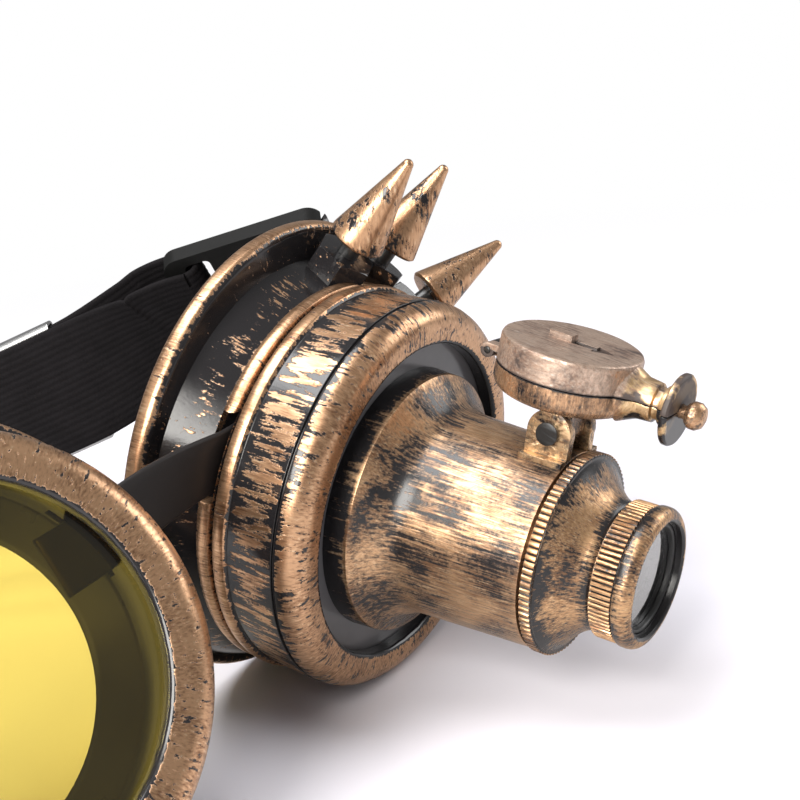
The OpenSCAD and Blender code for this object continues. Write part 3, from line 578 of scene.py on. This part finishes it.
@dataclass(frozen=True)
class Dial:
    """Compass card: ivory with degree marks round its edge."""

    name: str = "compass_card"
    card: Colour = (0.72, 0.66, 0.50)
    ink: Colour = (0.03, 0.025, 0.02)
    marks: int = 72
    edge_mm: float = 8.2

    def build(self, axes: Axes) -> bpy.types.Material:
        """Makes the material.

        Args:
            axes: The compass case's frame.

        Returns:
            The material.
        """
        shader = Shader(self.name)
        place = Field.of(shader, axes, float(self.marks))
        outer = place.radius.step(self.edge_mm - 1.4, self.edge_mm - 1.2)
        mark = place.round.wave().step(0.80, 0.90) * outer
        inner = place.radius.band(4.2, 0.07, 0.06)
        ring = place.radius.band(self.edge_mm - 1.6, 0.08, 0.06).most(inner)
        age = shader.noise(shader.vector(place.x, place.y, place.z), 0.4, 4.0, 0.6)
        return shader.surface(
            Base_Color=shader.mix(mark.most(ring) * (0.6 + age * 0.4), self.card, self.ink),
            Roughness=0.5 + age * 0.15,
            Normal=shader.bump(age, 0.01),
        )


@dataclass(frozen=True)
class Goggles:
    """The frames of the goggles' pieces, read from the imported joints."""

    loupe: Axes
    lens: Axes
    case: Axes
    bridge: Vector

    @staticmethod
    def read(joints: Iterable[dict]) -> "Goggles":
        """Reads the frames.

        Args:
            joints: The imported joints, each with pos_m and axis.

        Returns:
            The goggles' frames.
        """
        named = {joint["name"]: joint for joint in joints}

        def spot(name: str) -> Vector:
            """Returns a joint's position."""
            return Vector(named[name]["pos_m"])

        def way(name: str) -> Vector:
            """Returns a joint's direction."""
            return Vector(named[name]["axis"]).normalized()

        right, out = way("crown_press"), way("needle_spin")
        case = Axes(spot("needle_spin"), right, out.cross(right), out)
        fold = spot("bridge_fold")
        return Goggles(
            loupe=Axes.facing(spot("loupe_ring_turn"), way("loupe_ring_turn")),
            lens=Axes.facing(spot("lens_ring_turn"), way("lens_ring_turn")),
            case=case,
            bridge=Vector((fold.x, fold.y, 0.0)),
        )


def lerp(first: Vector, second: Vector, share: float) -> Vector:
    """Returns the point a share of the way from first to second."""
    return first * (1.0 - share) + second * share


def ramp(value: float, low: float, high: float) -> float:
    """Returns 0 below low, 1 above high and a straight line between."""
    return min(1.0, max(0.0, (value - low) / (high - low)))


@dataclass(frozen=True)
class Station:
    """A place on a band: its middle, width direction and thickness direction."""

    middle: Vector
    side: Vector
    face: Vector

    @staticmethod
    def on(middle: Vector, run: Vector, side: Vector) -> "Station":
        """Returns a station.

        Args:
            middle: Its middle.
            run: Travel of the band there.
            side: Wanted width direction.

        Returns:
            The station, square to its travel.
        """
        run = run.normalized()
        side = (side - run * side.dot(run)).normalized()
        return Station(middle, side, run.cross(side))


Outline = list[tuple[float, float]]


def ribbed_outline(width: float, thick: float, ribs: int, rise: float) -> Outline:
    """Returns the cross-section of a band with lengthwise ribs, in millimetres.

    Args:
        width: Width of the band.
        thick: Thickness over the ribs.
        ribs: Number of ribs on each face.
        rise: Height of the ribs.

    Returns:
        The closed outline.
    """
    per_rib = 5
    count = ribs * per_rib
    upper = []
    for i in range(count + 1):
        u = i / count
        edge = min(1.0, 8.0 * min(u, 1.0 - u))
        groove = rise * (0.5 - 0.5 * abs(math.sin(math.pi * u * ribs)))
        upper.append(((u - 0.5) * width, thick / 2 * (0.45 + 0.55 * math.sqrt(edge)) - groove))
    return upper + [(u, -height) for u, height in reversed(upper)]


def rounded_outline(width: float, thick: float, steps: int = 5, across: int = 6) -> Outline:
    """Returns the cross-section of a flat strip with half-round edges, in millimetres.

    Args:
        width: Width of the strip.
        thick: Its thickness.
        steps: Facets of each edge.
        across: Facets of each face.

    Returns:
        The closed outline.
    """
    radius = thick / 2
    outline = []
    for sign in (1, -1):
        for i in range(across):
            outline.append((sign * (-1 + 2 * i / across) * (width / 2 - radius), sign * radius))
        outline += [(sign * (width / 2 - radius + radius * math.sin(math.pi * i / steps)),
                     sign * radius * math.cos(math.pi * i / steps)) for i in range(steps)]
    return outline


def skin(name: str, stations: Sequence[Station], outline: Outline,
         capped: tuple[bool, bool]) -> bpy.types.Object:
    """Builds a band that carries an outline through stations.

    Args:
        name: Name of the piece.
        stations: The band's places in order.
        outline: Closed cross-section in millimetres.
        capped: Whether the start and the end are closed.

    Returns:
        The smooth-shaded piece.
    """
    mesh = bmesh.new()
    rings = [[mesh.verts.new(s.middle + (s.side * u + s.face * w) * MM) for u, w in outline]
             for s in stations]
    count = len(outline)
    for ring, after in zip(rings, rings[1:]):
        for j in range(count):
            k = (j + 1) % count
            mesh.faces.new((ring[j], after[j], after[k], ring[k]))
    half = count // 2
    for ring, wanted in ((rings[0], capped[0]), (rings[-1], capped[1])):
        if wanted:
            for j in range(half - 1):
                far = count - 1 - j
                mesh.faces.new((ring[j], ring[j + 1], ring[far - 1], ring[far]))
    bmesh.ops.recalc_face_normals(mesh, faces=mesh.faces)
    data = bpy.data.meshes.new(name)
    mesh.to_mesh(data)
    mesh.free()
    data.polygons.foreach_set("use_smooth", [True] * len(data.polygons))
    piece = bpy.data.objects.new(name, data)
    bpy.context.scene.collection.objects.link(piece)
    return piece


@dataclass(frozen=True)
class Buckle:
    """A moulded buckle's place and the sizes that the strap needs."""

    cup: Axes
    side: int
    fold: float
    lug_at: float = 58.3
    lug_r: float = 39.0
    lug_depth: float = 39.0
    length: float = 27.6
    turn_r: float = 2.7
    turn_run: float = 24.3

    @property
    def lug_out(self) -> Vector:
        """Direction from the cup's axis to the lug."""
        a = math.radians(self.lug_at)
        return self.cup.right * (self.side * math.sin(a)) + self.cup.up * math.cos(a)

    @property
    def bar(self) -> Vector:
        """Direction of the bar, pointing up."""
        a = math.radians(self.lug_at)
        way = self.cup.right * math.cos(a) - self.cup.up * (self.side * math.sin(a))
        return way if way.z > 0 else -way

    @property
    def face(self) -> Vector:
        """Thickness direction, away from the head."""
        a = math.radians(self.fold)
        return self.lug_out * math.cos(a) - self.cup.out * math.sin(a)

    @property
    def run(self) -> Vector:
        """Direction from the lug to the far bar."""
        a = math.radians(self.fold)
        return -self.lug_out * math.sin(a) - self.cup.out * math.cos(a)

    def at(self, run: float, face: float) -> Vector:
        """Returns the point at run and face millimetres from the lug's eye."""
        eye = self.cup.at(0, 0, -self.lug_depth) + self.lug_out * (self.lug_r * MM)
        return eye + (self.run * run + self.face * face) * MM


@dataclass
class ElasticStrap:
    """The black elastic: a loop behind the cups with a tail at each buckle."""

    goggles: Goggles
    width: float = 23.0
    thick: float = 1.5
    ribs: int = 19
    rib_rise: float = 0.26
    clear_of_bar: float = 1.8
    loupe_tail: float = 3.5
    lens_tail: float = 2.6
    tail_gap: float = 2.7
    fine: int = 14
    cuts: tuple[float, float] = (4.5, 11.0)
    loop: tuple[Point, ...] = (
        (40.5, 57.5, 48.6), (29.5, 69.5, 42), (12, 88, 34.5), (-8, 108, 27), (-26, 128, 19.5),
        (-45, 142, 14.5), (-63, 143, 12.5), (-76, 131, 12), (-80, 113, 13.5), (-76, 95, 17.5),
        (-68, 79, 22.5))
    points: list[Vector] = field(default_factory=list)

    def __post_init__(self) -> None:
        """Lays the route from one buckle to the other."""
        self.loupe_buckle = Buckle(self.goggles.loupe, 1, 37.6)
        self.lens_buckle = Buckle(self.goggles.lens, -1, 0.0)
        one, two = self.loupe_buckle, self.lens_buckle
        self.points = [one.at(run, -one.turn_r) for run in (one.turn_run, one.length + 1.5)]
        self.points += [self.goggles.bridge + Vector(point) * MM for point in self.loop]
        self.points += [two.at(run, -two.turn_r) for run in (two.length + 8, two.length + 1.5,
                                                             two.turn_run)]
        self.last = len(self.points) - 1

    def at(self, t: float) -> Vector:
        """Returns a point of the route.

        Args:
            t: Place along it, counted in route points.

        Returns:
            The point on a smooth curve through the route's points.
        """
        i = min(self.last - 1, int(t))
        u = t - i
        a, b = self.points[max(0, i - 1)], self.points[i]
        c, d = self.points[i + 1], self.points[min(self.last, i + 2)]
        square, cube = 2 * a - 5 * b + 4 * c - d, 3 * b - a - 3 * c + d
        return 0.5 * (2 * b + (c - a) * u + square * u ** 2 + cube * u ** 3)

    def station(self, t: float) -> Station:
        """Returns a station of the main strap.

        Args:
            t: Place along the route, counted in route points.

        Returns:
            The station, which turns from each buckle's bar to upright.
        """
        run = self.at(min(self.last, t + 0.05)) - self.at(max(0.0, t - 0.05))
        upright = Vector((0, 0, 1))
        if t < self.last / 2:
            side = lerp(self.loupe_buckle.bar, upright,
                        ramp(t, self.clear_of_bar, self.clear_of_bar + 1.2))
        else:
            side = lerp(self.lens_buckle.bar, upright,
                        ramp(self.last - t, self.clear_of_bar, self.clear_of_bar + 2.7))
        return Station.on(self.at(t), run, side)

    def tail(self, buckle: Buckle, k: float) -> Station:
        """Returns a station of a tail.

        Args:
            buckle: The buckle that the tail hangs from.
            k: Distance from it, counted in route points.

        Returns:
            The station.
        """
        s = self.station(k if buckle.side > 0 else self.last - k)
        out = math.copysign(1.0, s.face.dot(buckle.face))
        gap = 2 * buckle.turn_r + (self.tail_gap - 2 * buckle.turn_r) * ramp(
            k, self.clear_of_bar, self.clear_of_bar + 1)
        return Station(s.middle + s.face * (out * gap * MM), s.side, -s.face)

    def turn(self, buckle: Buckle, way: int) -> list[Station]:
        """Returns the half turn round a buckle's far bar.

        Args:
            buckle: The buckle.
            way: 1 from the tail to the main strap, -1 back.

        Returns:
            The stations between the tail and the main strap.
        """
        made = []
        steps = 12
        for i in range(1, steps):
            a = math.pi * (i / steps if way > 0 else 1 - i / steps)
            travel = -way * (buckle.run * math.cos(a) + buckle.face * math.sin(a))
            made.append(Station(buckle.at(buckle.turn_run - buckle.turn_r * math.sin(a),
                                          buckle.turn_r * math.cos(a)),
                                buckle.bar, travel.cross(buckle.bar)))
        return made

    def main(self, start: float, end: float) -> list[Station]:
        """Returns the main strap's stations from start to end, both included."""
        steps = max(2, round((end - start) * self.fine))
        return [self.station(start + (end - start) * i / steps) for i in range(steps + 1)]

    def build(self, finish: bpy.types.Material) -> list[bpy.types.Object]:
        """Builds the strap in three pieces that meet at the cuts.

        Args:
            finish: The woven material.

        Returns:
            The pieces, from the magnifier's side to the lens side.
        """
        near, far = self.cuts
        outline = ribbed_outline(self.width, self.thick, self.ribs, self.rib_rise)
        tails = [[self.tail(buckle, length * i / 40) for i in range(41)]
                 for buckle, length in ((self.loupe_buckle, self.loupe_tail),
                                        (self.lens_buckle, self.lens_tail))]
        runs = {
            "elastic_near": (tails[0][::-1] + self.turn(self.loupe_buckle, 1)
                             + self.main(0, near), (True, False)),
            "elastic_far": (self.main(near, far), (False, False)),
            "elastic_end": (self.main(far, self.last) + self.turn(self.lens_buckle, -1)
                            + tails[1], (False, True)),
        }
        pieces = []
        for name, (stations, capped) in runs.items():
            piece = skin(name, stations, outline, capped)
            piece.data.materials.append(finish)
            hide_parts("elastic_strap")
            pieces.append(piece)
        one, two = self.loupe_buckle, self.lens_buckle
        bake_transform(pieces[0], "loupe_buckle_body", "loupe_cup", start=one.at(one.turn_run, 0),
                 end=self.at(2.6))
        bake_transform(pieces[1], "loupe_cup", "lens_cup", start=self.at(near), end=self.at(far))
        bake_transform(pieces[2], "lens_cup", "lens_buckle_body", start=self.at(self.last - 4.2),
                 end=two.at(two.turn_run, 0))
        return pieces


@dataclass
class BridgeStrap:
    """The flat black strip that joins the cups through their slots."""

    goggles: Goggles
    width: float = 8.8
    thick: float = 1.0
    low: float = 0.8
    tab: float = 9.0
    rise: float = 0.8
    slot_r: float = 29.0
    slot_s: float = -16.9
    loupe_slot_at: float = 60.0
    lens_slot_at: float = 66.0

    def build(self, finish: bpy.types.Material) -> bpy.types.Object:
        """Builds the strip between the slots, with its ends inside the cups.

        Args:
            finish: The rubber's material.

        Returns:
            The piece.
        """
        a, b = math.radians(self.loupe_slot_at), math.radians(self.lens_slot_at)
        loupe, lens, r = self.goggles.loupe, self.goggles.lens, self.slot_r
        one = loupe.at(-r * math.sin(a), r * math.cos(a), self.slot_s)
        two = lens.at(r * math.sin(b), r * math.cos(b), self.slot_s)
        run = (two - one).normalized()
        sides = [run.cross(cup.out).normalized() for cup in (loupe, lens)]
        start, end = one - run * self.tab * MM, two + run * self.tab * MM
        span = (end - start).length / MM
        stations = []
        steps = 60
        for i in range(steps + 1):
            t = i / steps
            twist = ramp(t * span, self.tab, span - self.tab)
            lift = Vector((0, 0, self.rise * MM * math.sin(math.pi * twist)))
            side = lerp(sides[0], sides[1], twist)
            drop = side * (self.low * MM if side.z < 0 else -self.low * MM)
            stations.append(Station.on(lerp(start, end, t) + lift + drop, run, side))
        outline = rounded_outline(self.width, self.thick)
        piece = skin("bridge_strip", stations, outline, (True, True))
        piece.data.materials.append(finish)
        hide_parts("bridge_strap")
        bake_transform(piece)
        return piece


@dataclass(frozen=True)
class CupLining:
    """The dark inner wall behind the yellow lens, as a thin narrowing sleeve."""

    cup: Axes
    front: tuple[float, float] = (28.3, -19.0)
    back: tuple[float, float] = (23.2, -27.6)
    wall: float = 0.7
    steps: int = 96
    rings: int = 6

    def _wall_at(self, share: float, inward: float) -> tuple[float, float]:
        """Returns the radius and depth of a point, a share of the way back."""
        r = self.front[0] + (self.back[0] - self.front[0]) * share - inward
        return r, self.front[1] + (self.back[1] - self.front[1]) * share

    def build(self, finish: bpy.types.Material) -> bpy.types.Object:
        """Builds the sleeve as a closed ring of thin wall.

        Args:
            finish: The wall's material.

        Returns:
            The piece.
        """
        shares = [i / self.rings for i in range(self.rings + 1)]
        section = [self._wall_at(t, 0.0) for t in shares]
        section += [self._wall_at(t, self.wall) for t in reversed(shares)]
        mesh = bmesh.new()
        turns = []
        for i in range(self.steps):
            a = 2 * math.pi * i / self.steps
            turns.append([mesh.verts.new(self.cup.at(r * math.sin(a), r * math.cos(a), z))
                          for r, z in section])
        for one, two in zip(turns, turns[1:] + turns[:1]):
            for j in range(len(section)):
                k = (j + 1) % len(section)
                mesh.faces.new((one[j], two[j], two[k], one[k]))
        bmesh.ops.recalc_face_normals(mesh, faces=mesh.faces)
        data = bpy.data.meshes.new("cup_lining")
        mesh.to_mesh(data)
        mesh.free()
        data.shade_smooth()
        data.materials.append(finish)
        piece = bpy.data.objects.new("cup_lining", data)
        bpy.context.scene.collection.objects.link(piece)
        piece.modifiers.new("edges", "BEVEL").width = 0.25 * MM
        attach(piece, "lens_cup")
        return piece


@dataclass(frozen=True)
class Lamp:
    """A soft square lamp, placed in millimetres from the bridge.

    Attributes:
        name: Name of the lamp.
        at: Its place.
        watts: Its power.
        size: Side of its face in metres.
        target: The point it faces.
        tint: Its colour.
    """

    name: str
    at: Point
    watts: float
    size: float
    target: Point
    tint: Colour = (1.0, 1.0, 1.0)

    def place(self, bridge: Vector) -> None:
        """Puts the lamp in the scene.

        Args:
            bridge: The point that its places are measured from.
        """
        data = bpy.data.lights.new(self.name, "AREA")
        data.energy, data.shape, data.size, data.color = self.watts, "SQUARE", self.size, self.tint
        lamp = bpy.data.objects.new(self.name, data)
        bpy.context.scene.collection.objects.link(lamp)
        lamp.location = bridge + Vector(self.at) * MM
        aim = bridge + Vector(self.target) * MM - lamp.location
        lamp.rotation_mode = "QUATERNION"
        lamp.rotation_quaternion = aim.to_track_quat("-Z", "Y")


@dataclass
class Studio:
    """The white table, soft lamps and the camera."""

    goggles: Goggles
    eye: Point = (-107.0, -165.0, 124.52)
    right: Point = (0.69207, -0.70713, -0.14494)
    up: Point = (0.34001, 0.14222, 0.92961)
    lens_mm: float = 67.5
    table: Colour = (0.78, 0.765, 0.83)
    dim_table: Colour = (0.56, 0.55, 0.57)
    world: float = 0.26
    fade: tuple[float, float] = (0.14, 0.34)
    table_half: float = 30.0
    lamps: tuple[Lamp, ...] = (
        Lamp("key_left", (-430, -140, 330), 5.4, 0.34, (20, 0, 30), (1.0, 0.97, 0.92)),
        Lamp("top", (-60, 70, 540), 3.2, 0.34, (30, -40, 20)),
        Lamp("right_strip", (480, -200, 240), 1.0, 0.28, (30, 0, 30)))

    def camera(self) -> None:
        """Places the camera as the photograph was taken."""
        data = bpy.data.cameras.new("camera")
        data.lens, data.sensor_width = self.lens_mm, 36.0
        data.clip_start, data.clip_end = 0.01, 100.0
        camera = bpy.data.objects.new("camera", data)
        bpy.context.scene.collection.objects.link(camera)
        right, up = Vector(self.right), Vector(self.up)
        back = right.cross(up)
        turn = Matrix((right, up, back)).transposed().to_4x4()
        camera.matrix_world = Matrix.Translation(self.goggles.bridge + Vector(self.eye) * MM) @ turn
        bpy.context.scene.camera = camera

    def floor(self) -> None:
        """Lays the table top, which shows white and keeps the shadow."""
        data = bpy.data.meshes.new("table_top")
        half = self.table_half
        corners = [(-half, -half, 0), (half, -half, 0), (half, half, 0), (-half, half, 0)]
        data.from_pydata(corners, [], [(0, 1, 2, 3)])
        top = bpy.data.objects.new("table_top", data)
        bpy.context.scene.collection.objects.link(top)
        shader = Shader("table_white")
        place = shader.node("TexCoord", {}, {}, output="Object")
        tooth = shader.noise(place, 1.0 / (2.0 * MM), 3.0, 0.6)
        place_x, place_y = [shader.node("SeparateXYZ", {}, {0: place}, output=name) - middle
                            for name, middle in (("X", self.goggles.bridge.x),
                                                 ("Y", self.goggles.bridge.y))]
        seen = shader.node("LightPath", {}, {}, output="Is Camera Ray")
        reach = (place_x * place_x + place_y * place_y).root()
        paper = shader.node("BsdfPrincipled", {}, {
            "Base Color": shader.mix(seen, self.dim_table,
                                     shader.mix(tooth * 0.04, self.table, grey(0.9))),
            "Roughness": 0.7, "Specular IOR Level": 0.2})
        glow = shader.node("Emission", {}, {"Color": grey(1.0), "Strength": 1.0})
        fade = (reach.step(self.fade[0], self.fade[1]) * seen).clamped()
        paper = shader.node("MixShader", {}, {0: fade, 1: paper, 2: glow})
        data.materials.append(shader.finish(paper))

    def build(self) -> None:
        """Sets the camera, table, lamps and world."""
        scene = bpy.context.scene
        scene.view_settings.view_transform = "Standard"
        self.camera()
        self.floor()
        for lamp in self.lamps:
            lamp.place(self.goggles.bridge)
        world = bpy.data.worlds.new("studio")
        scene.world = world
        world.use_nodes = True
        tree = world.node_tree
        sky = tree.nodes["Background"]
        path = tree.nodes.new("ShaderNodeLightPath")
        level = tree.nodes.new("ShaderNodeMapRange")
        level.inputs["To Min"].default_value = self.world
        level.inputs["To Max"].default_value = 1.0
        tree.links.new(path.outputs["Is Camera Ray"], level.inputs["Value"])
        tree.links.new(level.outputs["Result"], sky.inputs["Strength"])
        sky.inputs["Color"].default_value = (1.0, 1.0, 1.0, 1.0)


# Copper on a cup, from its lug and back rim to its neck.
SHELL_COVER: Stops = (
    (-45.0, 0.22), (-29.2, 0.26), (-28.4, 0.62), (-28.1, 0.78), (-25.4, 0.80), (-24.8, 0.35),
    (-24.4, 0.08), (-23.0, 0.32), (-20.5, 0.39), (-18.9, 0.24), (-18.4, 0.50), (-17.6, 0.80),
    (-15.9, 0.80), (-15.55, 0.3), (-5.0, 0.2))

# Radius of a cup's hollow in shares of HOLLOW_R; it stays black.
HOLLOW_SHARE: Stops = (
    (-45.0, 0.0), (-28.2, 0.0), (-28.1, 0.548), (-25.0, 0.545), (-18.4, 0.488), (-15.0, 0.47),
    (-5.0, 0.46))

# Copper on a front ring: foot, band, groove and bezel.
RING_COVER: Stops = (
    (-15.3, 0.70), (-15.0, 0.84), (-12.9, 0.84), (-12.5, 0.20), (-11.4, 0.50), (-8.5, 0.62),
    (-6.0, 0.60), (-4.6, 0.40), (-4.35, 0.08), (-3.85, 0.08), (-3.7, 0.46), (-2.9, 0.60),
    (-2.0, 0.76), (-0.7, 0.77), (0.2, 0.74))

# Copper on the magnifier's barrel, from its foot forward.
BARREL_COVER: Stops = (
    (-9.0, 0.1), (-2.9, 0.15), (0.6, 0.45), (1.0, 0.95), (1.5, 0.85), (2.2, 0.66), (8.0, 0.60),
    (13.0, 0.74), (25.6, 0.72), (26.4, 0.92))

# Copper on the focus collar: knurl, black rim and waist.
COLLAR_COVER: Stops = (
    (20.0, 0.2), (26.8, 0.85), (28.55, 0.90), (28.75, 0.40), (30.0, 0.70), (33.0, 0.76),
    (34.6, 0.42), (40.0, 0.2))

# Copper on the eyepiece ring: ribs and rounded mouth.
EYEPIECE_COVER: Stops = (
    (34.8, 0.80), (35.2, 0.85), (38.6, 0.92), (38.8, 0.50), (39.3, 0.55), (40.0, 0.72),
    (41.6, 0.78))

# Copper on the compass case, up to the parting line.
CASE_COVER: Stops = (
    (-12.0, 0.6), (-4.1, 0.74), (-0.3, 0.82), (-0.12, 0.30), (0.0, 0.1))

# Copper on the compass lid, from the parting line up.
LID_COVER: Stops = (
    (0.0, 0.1), (0.12, 0.35), (0.35, 0.80), (3.7, 0.85), (4.1, 0.92), (4.3, 0.90), (4.5, 0.74),
    (5.6, 0.80))


@dataclass
class Dresser:
    """Gives each CAD node its finish and smooth shading."""

    goggles: Goggles
    nodes: dict[str, bpy.types.Object]
    sharp_deg: float = 35.0
    loupe_open_r: float = 25.0
    lens_open_r: float = 24.4

    def dress(self, finish: bpy.types.Material, *names: str, edge: float = 0.1,
              flat: bool = False) -> None:
        """Puts a finish on nodes and rounds their edges.

        Args:
            finish: The material.
            *names: The nodes.
            edge: Radius of the rounded edges in millimetres.
            flat: Whether the faces are flat and may be joined first.
        """
        for name in names:
            piece = self.nodes[name]
            data = piece.data
            data.materials.clear()
            data.materials.append(finish)
            normals = data.attributes.get("custom_normal")
            if normals is not None:
                data.attributes.remove(normals)
            data.polygons.foreach_set("use_smooth", [True] * len(data.polygons))
            piece.modifiers.new("weld", "WELD").merge_threshold = 0.002 * MM
            if flat:
                join = piece.modifiers.new("join", "DECIMATE")
                join.decimate_type, join.angle_limit = "DISSOLVE", math.radians(1.0)
            bevel = piece.modifiers.new("edges", "BEVEL")
            bevel.width, bevel.segments = edge * MM, 3 if flat else 2
            bevel.limit_method, bevel.angle_limit = "ANGLE", math.radians(self.sharp_deg)
            piece.modifiers.new("shading", "WEIGHTED_NORMAL").keep_sharp = True
            LOG.info("dressed %s", name)

    def cups(self) -> None:
        """Dresses the two cups and their front rings."""
        for label, cup, open_r in (("loupe", self.goggles.loupe, self.loupe_open_r),
                                   ("lens", self.goggles.lens, self.lens_open_r)):
            self.dress(Copper("brushed_cup_" + label, SHELL_COVER, across=2.0, along=0.17,
                              strokes=0.56, patches=0.24, inside=HOLLOW_SHARE).build(cup),
                       label + "_cup_shell")
            self.dress(Copper("brushed_ring_" + label, RING_COVER, across=1.35, along=0.15,
                              strokes=0.66, patches=0.16, patch_size=5.0, contrast=3.0,
                              seam=(-14.85, 3.4),
                              bare_below=(open_r + 0.25, open_r + 0.8)).build(cup),
                       label + "_front_ring")

    def magnifier(self) -> None:
        """Dresses the magnifier's barrel, collar and eyepiece."""
        cup = self.goggles.loupe
        self.dress(Copper("brushed_barrel", BARREL_COVER, girth=16.0, across=2.6, along=0.14,
                          strokes=0.44, patches=0.38, patch_size=7.0, soft=0.45, contrast=3.6,
                          shine=0.28, clean=0.22, gloss=0.25, tone=(0.6, 0.38, 0.22)).build(cup),
                   "loupe_barrel")
        self.dress(Copper("brushed_collar", COLLAR_COVER, shine=0.32, clean=0.25, gloss=0.25,
                          girth=13.0, across=2.8, along=0.16, strokes=0.46, patches=0.32,
                          patch_size=6.0, soft=0.35, contrast=3.2, tone=(0.6, 0.37, 0.2),
                          grooves=((27.8, 0.85, 15.22),)).build(cup), "focus_collar")
        self.dress(Copper("brushed_eyepiece", EYEPIECE_COVER, shine=0.34, clean=0.3, gloss=0.25,
                          girth=10.0, across=2.4, along=0.22, strokes=0.45, patches=0.3,
                          patch_size=4.0, soft=0.35, contrast=3.0, bare_below=(8.7, 9.2),
                          tone=(0.6, 0.37, 0.2), grooves=((36.9, 1.7, 10.22),)).build(cup),
                   "eyepiece_ring")
        self.dress(Plastic("grey_insert", (0.115, 0.112, 0.118), 0.17, 3.0, 0.01, 0.06).build(),
                   "insert_disc")
        self.dress(Plastic("black_inside", grey(0.012), 0.4).build(), "barrel_ring_nut",
                   "eyepiece_retainer", "lens_gasket")
        self.dress(Glass("clear_glass", (0.95, 0.96, 0.965), 0.05).build(), "field_lens",
                   "compass_glass")
        self.dress(Glass("coated_glass", (0.97, 0.975, 0.985), 0.36).build(), "eyepiece_lens")
        self.dress(Glass("yellow_glass", (0.955, 0.845, 0.370), 0.03).build(), "yellow_lens")

    def compass(self) -> None:
        """Dresses the compass and its bracket."""
        case = self.goggles.case
        self.dress(Copper("brushed_case", CASE_COVER, girth=10.4, across=2.2, along=0.35,
                          strokes=0.35, patches=0.35, patch_size=4.5, soft=0.5, shine=0.28,
                          gilt_beyond=10.2, flange=(17.8, 4.7)).build(case), "compass_base")
        # The lid's pale colour is its painted highlight on the raised strokes.
        lilac = Copper("brushed_lid", LID_COVER, Run.FLAT, girth=10.4, across=2.0, along=0.22,
                       strokes=0.42, patches=0.34, patch_size=5.5, soft=0.6,
                       tone=(0.62, 0.46, 0.36), pale=(0.86, 0.76, 0.68), brown=(0.34, 0.205, 0.145),
                       under=(0.05, 0.035, 0.03), shine=0.27, gilt_beyond=10.2, flange=(17.8, 4.7),
                       recess=(4.18, 0.2, 8.0), gloss=0.55)
        self.dress(lilac.build(case), "compass_lid")
        self.dress(Copper("brushed_crown", ((-30.0, 0.78), (30.0, 0.78)), Run.DABBED, across=1.2,
                          soft=0.4, patch_size=2.5).build(case), "crown")
        self.dress(Copper("brushed_bracket", ((-30.0, 0.8), (30.0, 0.8)), Run.FLAT, across=1.6,
                          along=0.4, strokes=0.5, patches=0.3, patch_size=2.5, soft=0.4,
                          contrast=3.2, tone=(0.66, 0.45, 0.26)).build(case), "compass_bracket")
        self.dress(Dial().build(case), "compass_dial")
        self.dress(Plastic("red_needle", (0.45, 0.02, 0.015), 0.35).build(), "compass_needle")
        self.dress(Plastic("pivot_brass", (0.6, 0.42, 0.16), 0.3, metal=1.0).build(),
                   "needle_pivot")
        self.dress(Plastic("dark_steel", grey(0.05), 0.3, metal=0.8).build(), "tilt_pin",
                   "lid_hinge_pin", "spike_screws")

    def spikes(self) -> None:
        """Dresses the spikes, their nuts and the steel clip."""
        low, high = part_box("spikes")
        lean = Axes(low, self.goggles.loupe.right, self.goggles.loupe.out,
                    (self.goggles.loupe.up + self.goggles.loupe.right * 0.6).normalized())
        reach = (high - low).length / MM
        self.dress(Copper("brushed_spikes", ((-reach, 0.66), (reach, 0.7)), Run.LONG, across=1.3,
                          along=0.28, strokes=0.4, patches=0.4, patch_size=4.5, soft=0.12,
                          contrast=3.2).build(lean), "spikes", edge=0.05)
        self.dress(Copper("brushed_nuts", ((-reach, 0.2), (reach, 0.2)), Run.DABBED, across=0.8,
                          strokes=0.3, patches=0.4, patch_size=2.5, contrast=3.2).build(lean),
                   "spike_nuts")
        self.dress(Plastic("bright_steel", grey(0.4), 0.34, 1.2, 0.004, 0.08, 1.0).build(),
                   "tail_clip")


def main() -> None:
    """Builds the scene round the frame."""
    logging.basicConfig(level=logging.INFO, format="%(name)s: %(message)s")
    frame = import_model()
    goggles = Goggles.read(frame["joints"])
    Studio(goggles).build()
    dresser = Dresser(goggles, frame["nodes"])
    steps: tuple[Callable[[], None], ...] = (
        dresser.cups, dresser.magnifier, dresser.compass, dresser.spikes)
    for step in steps:
        step()
    moulded = Plastic("moulded_black", grey(0.006), 0.50, 0.8, 0.012, specular=0.10).build()
    rubber = Plastic("strip_black", (0.013, 0.011, 0.011), 0.45, 0.5, 0.01, specular=0.25).build()
    dresser.dress(moulded, "loupe_buckle", "lens_buckle", edge=0.7, flat=True)
    for piece in ElasticStrap(goggles).build(Webbing().build()):
        LOG.info("built %s", piece.name)
    LOG.info("built %s", BridgeStrap(goggles).build(rubber).name)
    lining = Plastic("lining_black", grey(0.020), 0.30, 2.0, 0.01).build()
    LOG.info("built %s", CupLining(goggles.lens).build(lining).name)


if __name__ == "__main__":
    main()
